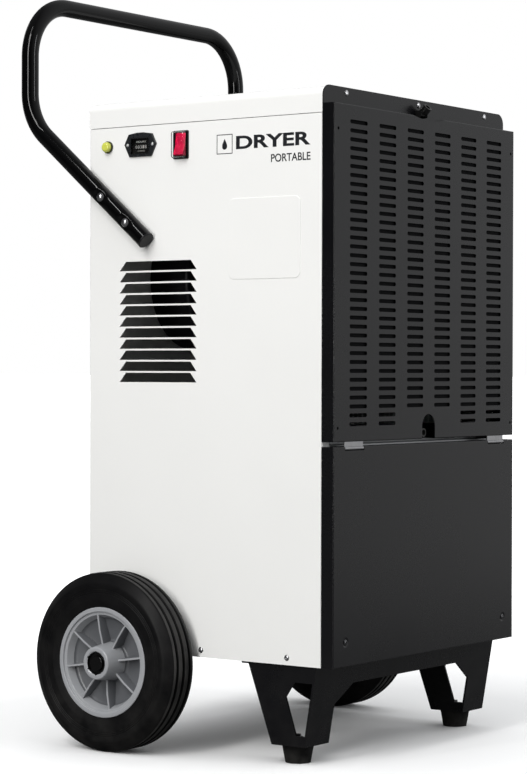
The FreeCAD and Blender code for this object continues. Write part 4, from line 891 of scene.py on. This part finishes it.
@dataclass
class WheelSet:
    """Both rear wheels: turned tyres and rims with ribs."""

    palette: Palette
    ribs: int = 8
    rib_half: float = 0.0015
    first_rib_deg: float = 9.0
    tread_groove: float = 0.0042
    groove_offsets: tuple[float, ...] = (-0.0135, 0.0, 0.0135)
    wall_rings: tuple[float, ...] = (0.0262, 0.0236, 0.0210)
    tyre_steps: int = 144
    rim_steps: int = 96
    hub_proud: float = 0.013
    hub_marks: int = 6
    hub_radius: float = 0.0245
    bore_radius: float = 0.01425
    mouth_radius: float = 0.0158
    mark_size: float = 0.0024
    mark_half: float = 0.0011
    mark_depth: float = 0.0022
    # how deep and how far inside the lip a rim face must lie to get the painted shade of the web
    shaded_web_depth: float = 0.0115
    shaded_web_margin: float = 0.012
    crown_depth: float = 0.0009
    crown_slope: float = 0.4

    def build(self) -> None:
        """Build the left and the right wheel."""
        for side, label in ((-1, "left"), (1, "right")):
            self._tyre(side, label)
            self._rim(side, label)
            self.palette.dress(frame["nodes"][f"wheel_bearings_{label}"], BEARING_BLACK_AND_BORE_SHADE)
        self.palette.dress(frame["nodes"]["axle_caps"], CAP_BLACK)

    def _tyre(self, side: int, label: str) -> None:
        """Tyre with rounded shoulders, a bulging wall with moulded rings and grooves round the tread.

        Args:
            side: -1 for the left wheel, 1 for the right one.
            label: the side's name in the nodes.
        """
        low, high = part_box(f"tyre_{label}")
        rim_low, rim_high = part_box(f"wheel_rim_{label}")
        centre = Vector((0.0, (low.y + high.y) / 2, (low.z + high.z) / 2))
        radius = (high.z - low.z) / 2
        inner, outer = sorted((abs(low.x), abs(high.x)))
        seat = (rim_high.z - rim_low.z) / 2
        lip = max(abs(rim_low.x), abs(rim_high.x)) - self.hub_proud
        tread = [(inner + 0.0085, radius - 0.0006, 0.004)]
        middle = (inner + outer) / 2
        notch = ((-0.0026, 0.0), (-0.0016, self.tread_groove), (0.0016, self.tread_groove), (0.0026, 0.0))
        for offset in self.groove_offsets:
            tread += [(middle + offset + shift, radius - depth, 0.0007) for shift, depth in notch]
        tread.append((outer - 0.0085, radius - 0.0006, 0.004))
        corners = [(inner, seat, 0.0), (inner, seat + 0.004, 0.0008), (inner + 0.0016, seat + 0.009, 0.002),
                   (inner + 0.0010, radius - 0.022, 0.004), (inner, radius - 0.013, 0.004)] + tread
        corners += [(outer, radius - 0.014, 0.008), (outer, seat + 0.0310, 0.006)]
        for ridge in self.wall_rings:
            corners += [(outer - 0.0004, seat + ridge, 0.0002),
                        (outer - 0.0010, seat + ridge - 0.0007, 0.0002),
                        (outer - 0.0004, seat + ridge - 0.0014, 0.0002)]
        corners += [(outer - 0.0009, seat + 0.010, 0.003), (lip + 0.0002, seat + 0.0012, 0.001),
                    (lip - 0.0008, seat, 0.0)]
        shape = bmesh.new()
        lathe(shape, rounded_outline(corners, 3), centre, Vector((side, 0, 0)), self.tyre_steps)
        piece = new_piece(f"moulded_tyre_{label}", mesh_from("tyre", shape), f"wheel_{label}", 50.0)
        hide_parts(f"tyre_{label}")
        self.palette.dress(piece, FINISHES["tyre"])
        piece.data.materials.append(self.palette.get(TREAD_RUBBER))
        for face in piece.data.polygons:
            away = (face.center - centre).yz.length
            if away > radius - self.crown_depth and abs(face.normal.x) < self.crown_slope:
                face.material_index = 1

    def _rim(self, side: int, label: str) -> None:
        """Rim: stepped lip, dished web, long hub, and thin ribs with rounded crests.

        Args:
            side: -1 for the left wheel, 1 for the right one.
            label: the side's name in the nodes.
        """
        low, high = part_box(f"wheel_rim_{label}")
        centre = Vector((0.0, (low.y + high.y) / 2, (low.z + high.z) / 2))
        seat = (high.z - low.z) / 2
        back, hub_face = sorted((abs(low.x), abs(high.x)))
        face = hub_face - self.hub_proud
        bore, mouth, hub = self.bore_radius, self.mouth_radius, self.hub_radius
        outline = rounded_outline([
            (back, seat, 0.001), (face, seat, 0.0010), (face, seat - 0.0062, 0.0010),
            (face - 0.0030, seat - 0.0068, 0.0005), (face - 0.0030, seat - 0.0108, 0.0012),
            (face - 0.0165, seat - 0.0165, 0.006), (face - 0.0240, hub + 0.0030, 0.004),
            (face + 0.0020, hub - 0.0002, 0.001), (hub_face, hub - 0.0020, 0.0018),
            (hub_face, bore + 0.0030, 0.0008), (hub_face - 0.0012, mouth, 0.0),
            (hub_face - 0.0050, mouth, 0.0), (hub_face - 0.0050, bore, 0.0),
            (back, bore, 0.0006), (back, hub, 0.001),
            (face - 0.0290, hub, 0.004), (face - 0.0215, seat - 0.010, 0.006),
            (back, seat - 0.005, 0.001)], 4)
        shape = bmesh.new()
        lathe(shape, outline, centre, Vector((side, 0, 0)), self.rim_steps)
        for index in range(self.ribs):
            self._rib(shape, centre, side, math.radians(self.first_rib_deg + 360 / self.ribs * index),
                      (hub - 0.001, seat - 0.0105), (face - 0.0250, face - 0.0034))
        for index in range(self.hub_marks):
            self._hub_mark(shape, centre, side, 2 * math.pi * index / self.hub_marks, hub_face)
        piece = new_piece(f"moulded_rim_{label}", mesh_from("rim", shape), f"wheel_{label}", 40.0)
        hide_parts(f"wheel_rim_{label}")
        self.palette.dress(piece, FINISHES["rim_grey"])
        piece.data.materials.append(self.palette.get(WEB_PAINTED_SHADE))
        piece.data.materials.append(self.palette.get(BEARING_BLACK_AND_BORE_SHADE))
        for polygon in piece.data.polygons:
            away = (polygon.center - centre).yz.length
            deep = abs(polygon.center.x) < face - self.shaded_web_depth
            # painted shade: the rim's own faces in the bore and its mouth get the black bearing finish
            if away < mouth + 0.0002:
                polygon.material_index = 2
            # painted shade: deep faces of the web between hub and lip get the darker web grey
            elif deep and hub - 0.001 < away < seat - self.shaded_web_margin:
                polygon.material_index = 1

    def _hub_mark(self, shape: bmesh.types.BMesh, centre: Vector, side: int, angle: float,
                  face: float) -> None:
        """Small raised pip on the hub's chamfer.

        Args:
            shape: bmesh that receives it.
            centre: the wheel's centre.
            side: -1 for the left wheel, 1 for the right one.
            angle: its place round the hub.
            face: how far out the hub's face is.
        """
        out = Vector((0.0, math.sin(angle), math.cos(angle)))
        across = Vector((0.0, math.cos(angle), -math.sin(angle)))
        ahead = Vector((side, 0, 0))
        place = Matrix((out, across, ahead)).transposed().to_4x4()
        place.translation = centre + ahead * (face - self.mark_size) + out * (self.bore_radius + 0.0002)
        half = self.mark_half
        slab(shape, [(0.0, -half), (self.mark_size, -half), (self.mark_size, half), (0.0, half)], place,
             self.mark_depth)

    def _rib(self, shape: bmesh.types.BMesh, centre: Vector, side: int, angle: float,
             radii: Point2, depths: Point2) -> None:
        """One radial rib, thicker at its root, with a rounded crest.

        Args:
            shape: bmesh that receives it.
            centre: the wheel's centre.
            side: -1 for the left wheel, 1 for the right one.
            angle: its place round the hub.
            radii: where it starts and ends.
            depths: how far out its root and its crest are.
        """
        out = Vector((0.0, math.sin(angle), math.cos(angle)))
        across = Vector((0.0, math.cos(angle), -math.sin(angle)))
        root, crest = depths
        section = [(-1.7, root), (-1.0, crest - 0.0010), (-0.7, crest - 0.0003), (0.0, crest),
                   (0.7, crest - 0.0003), (1.0, crest - 0.0010), (1.7, root)]
        rings = []
        for radius, drop in ((radii[0], 0.003), ((radii[0] + radii[1]) / 2, 0.0), (radii[1], 0.0)):
            ring = []
            for width, depth in section:
                along = depth - (drop if depth > root else 0.0)
                ring.append(shape.verts.new(centre + Vector((side * along, 0, 0)) + out * radius
                                            + across * (width * self.rib_half)))
            rings.append(ring)
        bridge(shape, rings)
        shape.faces.new(rings[0])
        shape.faces.new(rings[-1][::-1])


@dataclass
class PushHandle:
    """Bent handle tube with crushed seats at its bolts."""

    palette: Palette
    tube_radius: float = 0.0125
    knee_radius: float = 0.085
    top_radius: float = 0.080
    slope_deg: float = 40.0
    dent_depth: float = 0.0030
    dent_radius: float = 0.0088
    dent_flat: float = 0.8
    bolt_head: float = 0.0064
    around: int = 40
    step_length: float = 0.003
    bend_steps: int = 24

    def build(self) -> None:
        """Sweep the tube and press the dents."""
        low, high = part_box("handle_tube")
        arm_x = high.x - self.tube_radius
        rear_y = high.y - self.tube_radius
        top_z = high.z - self.tube_radius
        bolts_low, bolts_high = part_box("handle_bolts")
        bolts = [(bolts_low.y + self.bolt_head, bolts_low.z + self.bolt_head),
                 (bolts_high.y - self.bolt_head, bolts_high.z - self.bolt_head)]
        rise = math.tan(math.radians(self.slope_deg))
        end_y = low.y + math.sin(math.radians(self.slope_deg)) * self.tube_radius
        end_z = low.z + math.cos(math.radians(self.slope_deg)) * self.tube_radius
        corners = [Vector((-arm_x, end_y, end_z)), Vector((-arm_x, rear_y, end_z + (rear_y - end_y) * rise)),
                   Vector((-arm_x, rear_y, top_z))]
        corners += [Vector((-c.x, c.y, c.z)) for c in reversed(corners)]
        path = self._path(corners, (self.knee_radius, self.top_radius, self.top_radius, self.knee_radius))
        shape = bmesh.new()
        self._sweep(shape, path, bolts)
        piece = new_piece("bent_handle", mesh_from("bent_handle", shape), "cabinet", 50.0)
        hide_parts("handle_tube")
        self.palette.dress(piece, FINISHES["handle_black"])

    def _path(self, corners: Sequence[Vector], radii: Sequence[float]) -> list[Vector]:
        """Points of the tube's line: straight runs, finely divided, joined by arcs.

        Args:
            corners: ends and corners of the line.
            radii: bend radius at each inner corner.

        Returns:
            The points, from end to end.
        """
        line = [corners[0]]
        for index, radius in enumerate(radii, start=1):
            corner = corners[index]
            back = (corners[index - 1] - corner).normalized()
            onward = (corners[index + 1] - corner).normalized()
            half = back.angle(onward) / 2
            start = corner + back * (radius / math.tan(half))
            centre = corner + (back + onward).normalized() * (radius / math.sin(half))
            normal = (start - centre).cross(corner - start).normalized()
            steps = max(2, round((start - line[-1]).length / self.step_length))
            line += [line[-1].lerp(start, step / steps) for step in range(1, steps + 1)]
            sweep = math.pi - 2 * half
            for step in range(1, self.bend_steps + 1):
                turn = Matrix.Rotation(sweep * step / self.bend_steps, 3, normal)
                line.append(centre + turn @ (start - centre))
        steps = round((corners[-1] - line[-1]).length / self.step_length)
        start = line[-1]
        line += [start.lerp(corners[-1], step / steps) for step in range(1, steps + 1)]
        return line

    def _sweep(self, shape: bmesh.types.BMesh, path: Sequence[Vector], bolts: Sequence[Point2]) -> None:
        """Rings along the path, pressed in round each bolt on the outer side.

        Args:
            shape: bmesh that receives the tube.
            path: points of its line, which starts on an arm.
            bolts: y and z of each bolt.
        """
        arm_x = abs(path[0].x)
        rings = []
        up = Vector((1, 0, 0))
        for index, point in enumerate(path):
            ahead = (path[min(index + 1, len(path) - 1)] - path[max(index - 1, 0)]).normalized()
            up = (up - ahead * up.dot(ahead)).normalized()
            across = ahead.cross(up)
            ring = []
            for step in range(self.around):
                angle = 2 * math.pi * step / self.around
                place = point + (up * math.cos(angle) + across * math.sin(angle)) * self.tube_radius
                ring.append(shape.verts.new(self._pressed(place, point, bolts, arm_x)))
            rings.append(ring)
        bridge(shape, rings)
        shape.faces.new(rings[0][::-1])
        shape.faces.new(rings[-1])

    def _pressed(self, place: Vector, centre: Vector, bolts: Sequence[Point2], arm_x: float) -> Vector:
        """A surface point after the bolts have crushed the tube's outer side.

        Args:
            place: the point on the round tube.
            centre: the nearest point of the tube's line.
            bolts: y and z of each bolt.
            arm_x: distance of both arms from the middle.

        Returns:
            The point, moved in where a bolt presses.
        """
        if abs(abs(centre.x) - arm_x) > 1e-4:
            return place
        side = 1 if centre.x > 0 else -1
        reach = (place.x - centre.x) * side / self.tube_radius
        if reach <= 0:
            return place
        moved = place.copy()
        for y, z in bolts:
            away = math.hypot(place.y - y, place.z - z) / self.dent_radius
            flat = self.dent_flat
            if away < 2 * flat:
                press = 1.0 if away < flat else 0.5 + 0.5 * math.cos(math.pi * (away - flat) / flat)
                floor = side * (arm_x + self.tube_radius - self.dent_depth)
                if (place.x - floor) * side > 0:
                    moved.x = place.x + (floor - place.x) * press
        return moved


@dataclass
class ControlPanel:
    """Counter digits and the meter's marks."""

    palette: Palette
    digits: str = "00318"
    digit_height: float = 0.0046
    digit_pitch: float = 0.0042
    digit_shape: float = 0.32
    digit_drop: float = 0.0012
    print_depth: float = 0.0002
    caption_rise: float = 0.0062
    caption_half: Point2 = (0.0085, 0.0013)
    ticks: int = 7
    tick_pitch: float = 0.0018
    tick_drop: float = 0.0068
    tick_half: Point2 = (0.0004, 0.0008)
    case_break: float = 0.0005

    def build(self) -> None:
        """Print the counter and break the meter's edges."""
        self._counter()
        soften(frame["nodes"]["hour_meter_body"], self.case_break)

    def _counter(self) -> None:
        """Five counter digits in pale print, with a dim caption above and ticks below."""
        low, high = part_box("hour_meter_face")
        face_x = low.x
        middle_y = (low.y + high.y) / 2
        middle_z = (low.z + high.z) / 2
        shape = bmesh.new()
        half = self.digit_height / 2
        wide = self.digit_shape * self.digit_height
        for index, digit in enumerate(self.digits):
            shift = (index - (len(self.digits) - 1) / 2) * self.digit_pitch
            place = side_place(face_x, middle_y - shift, middle_z - self.digit_drop)
            add_word(shape, digit, place, (-wide, wide), (-half, half), self.print_depth, 0.0)
        caption = side_place(face_x, middle_y, middle_z + self.caption_rise)
        long, tall = self.caption_half
        add_word(shape, "HOURS", caption, (-long, long), (-tall, tall), self.print_depth, 0.0)
        wide, tall = self.tick_half
        for index in range(self.ticks):
            shift = (index - self.ticks // 2) * self.tick_pitch
            tick = side_place(face_x, middle_y - shift, middle_z - self.tick_drop)
            slab(shape, [(-wide, -tall), (wide, -tall), (wide, tall), (-wide, tall)], tick, self.print_depth)
        piece = new_piece("counter_print", mesh_from("counter_print", shape), "cabinet")
        self.palette.dress(piece, PRINT_WHITE)


@dataclass
class FanWheel:
    """Impeller with curved, twisted blades, and the lip of its shroud."""

    palette: Palette
    blades: int = 9
    hub_radius: float = 0.040
    root_pitch_deg: float = 42.0
    tip_pitch_deg: float = 22.0
    thickness: float = 0.0018
    shroud_length: float = 0.0709
    lip_radius: float = 0.006
    lip_inset: float = 0.004
    lip_sheet: float = 0.0012
    bore_radius: float = 0.0052
    root_chord: float = 0.050
    chord_growth: float = 0.052
    blade_sweep: float = 0.35
    blade_camber: float = 0.006
    blade_drop: float = 0.002
    hub_steps: int = 64
    lip_steps: int = 96
    spans: int = 10
    chords: int = 10

    def build(self) -> None:
        """Build the hub and its blades."""
        low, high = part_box("fan_blade")
        ring_low, ring_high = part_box("fan_ring")
        ring_middle = (ring_low + ring_high) / 2
        centre = Vector((ring_middle.x, (low.y + high.y) / 2, ring_middle.z))
        depth = (high.y - low.y) / 2
        tip = high.z - centre.z
        shape = bmesh.new()
        start, end = -depth * 0.75, depth * 0.8
        outline = rounded_outline([(start, self.bore_radius, 0.0), (end, self.bore_radius, 0.0),
                                   (end, self.hub_radius, 0.006), (start, self.hub_radius, 0.002)])
        lathe(shape, outline, centre, Vector((0, 1, 0)), self.hub_steps)
        for index in range(self.blades):
            self._blade(shape, centre, 2 * math.pi * index / self.blades, tip, depth)
        piece = new_piece("curved_impeller", mesh_from("curved_impeller", shape), "fan", 40.0)
        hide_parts("fan_blade")
        self.palette.dress(piece, FINISHES["moulded_black"])
        self._bell_mouth(centre, ring_low, ring_high)

    def _bell_mouth(self, centre: Vector, ring_low: Vector, ring_high: Vector) -> None:
        """Rolled lip on the shroud's inlet edge.

        Args:
            centre: the impeller's centre.
            ring_low: lowest corner of the shroud's box.
            ring_high: highest corner of the shroud's box.
        """
        outer = (ring_high.z - ring_low.z) / 2
        edge = ring_high.y - centre.y - self.shroud_length
        inside = outer - self.lip_inset
        outline = [(edge + self.lip_radius * math.sin(a), inside + self.lip_radius * (1 - math.cos(a)))
                   for a in (math.radians(d) for d in range(0, -181, -20))]
        outline += [(along, radius - self.lip_sheet) for along, radius in reversed(outline)]
        shape = bmesh.new()
        lathe(shape, outline, centre, Vector((0, 1, 0)), self.lip_steps)
        piece = new_piece("bell_mouth", mesh_from("bell_mouth", shape), "cabinet", 50.0)
        self.palette.dress(piece, FINISHES["moulded_black"])

    def _blade(self, shape: bmesh.types.BMesh, centre: Vector, start: float, tip: float,
               depth: float) -> None:
        """One blade: its chord sweeps back and its pitch eases towards the tip.

        Args:
            shape: bmesh that receives it.
            centre: the impeller's centre.
            start: angle of its root.
            tip: radius of its tip.
            depth: half the impeller's length.
        """
        spans, chords = self.spans, self.chords
        grid = []
        for i in range(spans + 1):
            share = i / spans
            radius = self.hub_radius - 0.002 + (tip - self.hub_radius + 0.001) * share
            pitch = math.radians(self.root_pitch_deg + (self.tip_pitch_deg - self.root_pitch_deg) * share)
            row = []
            for j in range(chords + 1):
                across = j / chords - 0.5
                chord = self.root_chord + self.chord_growth * share
                angle = start + across * chord * math.cos(pitch) / radius + self.blade_sweep * share
                camber = self.blade_camber * (1 - (2 * across) ** 2)
                along = across * chord * math.sin(pitch) + camber - self.blade_drop
                along = max(-depth, min(depth - self.thickness, along))
                out = Vector((math.cos(angle), 0, math.sin(angle)))
                row.append(centre + out * radius + Vector((0, along, 0)))
            grid.append(row)
        front = [[shape.verts.new(p) for p in row] for row in grid]
        back = [[shape.verts.new(p + Vector((0, self.thickness, 0))) for p in row] for row in grid]
        for i in range(spans):
            for j in range(chords):
                shape.faces.new((front[i][j], front[i][j + 1], front[i + 1][j + 1], front[i + 1][j]))
                shape.faces.new((back[i][j], back[i + 1][j], back[i + 1][j + 1], back[i][j + 1]))
        for i in range(spans):
            for j in (0, chords):
                shape.faces.new((front[i][j], front[i + 1][j], back[i + 1][j], back[i][j]))
        for j in range(chords):
            for i in (0, spans):
                shape.faces.new((front[i][j], front[i][j + 1], back[i][j + 1], back[i][j]))


@dataclass
class Screws:
    """Screw heads with a cross recess, in place of the plain ones."""

    palette: Palette
    recess_depth: float = 0.0012
    recess_long: float = 0.55
    recess_wide: float = 0.13
    cutter_length: float = 0.01

    def build(self) -> None:
        """Replace each group of plain screws."""
        nodes = (("flange_screws", "bright_steel"), ("cover_screws", "dark_steel"),
                 ("panel_screws", "bright_steel"), ("hour_meter_screws", "bright_steel"))
        for node, slot in nodes:
            self._recessed(node, slot)

    def _recessed(self, node: str, slot: str) -> None:
        """Cut a cross recess in every head of a group.

        Args:
            node: the group's CAD node.
            slot: its material slot.
        """
        source = frame["nodes"][node]
        cutter_shape = bmesh.new()
        for centre, outward, radius in self._heads(source):
            side = outward.orthogonal().normalized()
            other = outward.cross(side)
            for along, across in ((side, other), (other, side)):
                place = Matrix((along, across, outward)).transposed().to_4x4()
                place.translation = centre - outward * self.recess_depth
                long, wide = radius * self.recess_long, radius * self.recess_wide
                slab(cutter_shape, [(-long, -wide), (long, -wide), (long, wide), (-long, wide)], place,
                     self.cutter_length)
        cutter = bpy.data.objects.new("cutter", mesh_from("cutter", cutter_shape))
        bpy.context.scene.collection.objects.link(cutter)
        cut = source.modifiers.new("cross recess", "BOOLEAN")
        cut.operation = "DIFFERENCE"
        cut.object = cutter
        cut.solver = "EXACT"
        cut.use_self = True
        bpy.context.view_layer.update()
        mesh = bpy.data.meshes.new_from_object(source.evaluated_get(bpy.context.evaluated_depsgraph_get()))
        source.modifiers.remove(cut)
        bpy.data.objects.remove(cutter)
        mesh.materials.clear()
        piece = new_piece(f"cross_{node}", mesh, "cabinet", 30.0)
        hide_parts(node)
        self.palette.dress(piece, BOLT_STEEL if node == "panel_screws" else FINISHES[slot])

    @staticmethod
    def _heads(source: bpy.types.Object) -> list[tuple[Vector, Vector, float]]:
        """Crown, outward direction and radius of every screw in a group's mesh.

        Args:
            source: the group's CAD node.

        Returns:
            One row for each screw.
        """
        shape = bmesh.new()
        shape.from_mesh(source.data)
        bmesh.ops.remove_doubles(shape, verts=shape.verts, dist=1e-7)
        left = set(shape.verts)
        heads = []
        while left:
            stack = [left.pop()]
            island = list(stack)
            while stack:
                for edge in stack.pop().link_edges:
                    for vert in edge.verts:
                        if vert in left:
                            left.remove(vert)
                            stack.append(vert)
                            island.append(vert)
            low = Vector([min(v.co[k] for v in island) for k in range(3)])
            high = Vector([max(v.co[k] for v in island) for k in range(3)])
            size = high - low
            axis = min(range(3), key=lambda k: abs(size[(k + 1) % 3] - size[(k + 2) % 3]))
            middle = (low + high) / 2
            wide_low = max((v.co - middle).length_squared for v in island if v.co[axis] < middle[axis])
            wide_high = max((v.co - middle).length_squared for v in island if v.co[axis] >= middle[axis])
            outward = Vector((0, 0, 0))
            outward[axis] = 1.0 if wide_high > wide_low else -1.0
            crown = middle.copy()
            crown[axis] = high[axis] if outward[axis] > 0 else low[axis]
            heads.append((crown, outward, size[(axis + 1) % 3] / 2))
        shape.free()
        return heads


def dress_nodes(palette: Palette) -> None:
    """Give every CAD node the finish of its slot."""
    for entry in frame["record"]["subparts"]:
        palette.dress(frame["nodes"][entry["node"]], FINISHES[entry["material_slot"]])


def main() -> None:
    """Build every sub-assembly."""
    logging.basicConfig(level=logging.INFO, format="%(name)s: %(message)s")
    Studio().build()
    palette = Palette()
    dress_nodes(palette)
    for assembly in (Housing(palette), WheelSet(palette), PushHandle(palette), ControlPanel(palette),
                     FanWheel(palette), Screws(palette)):
        assembly.build()
        LOG.info("built %s", type(assembly).__name__)


if __name__ == "__main__":
    main()
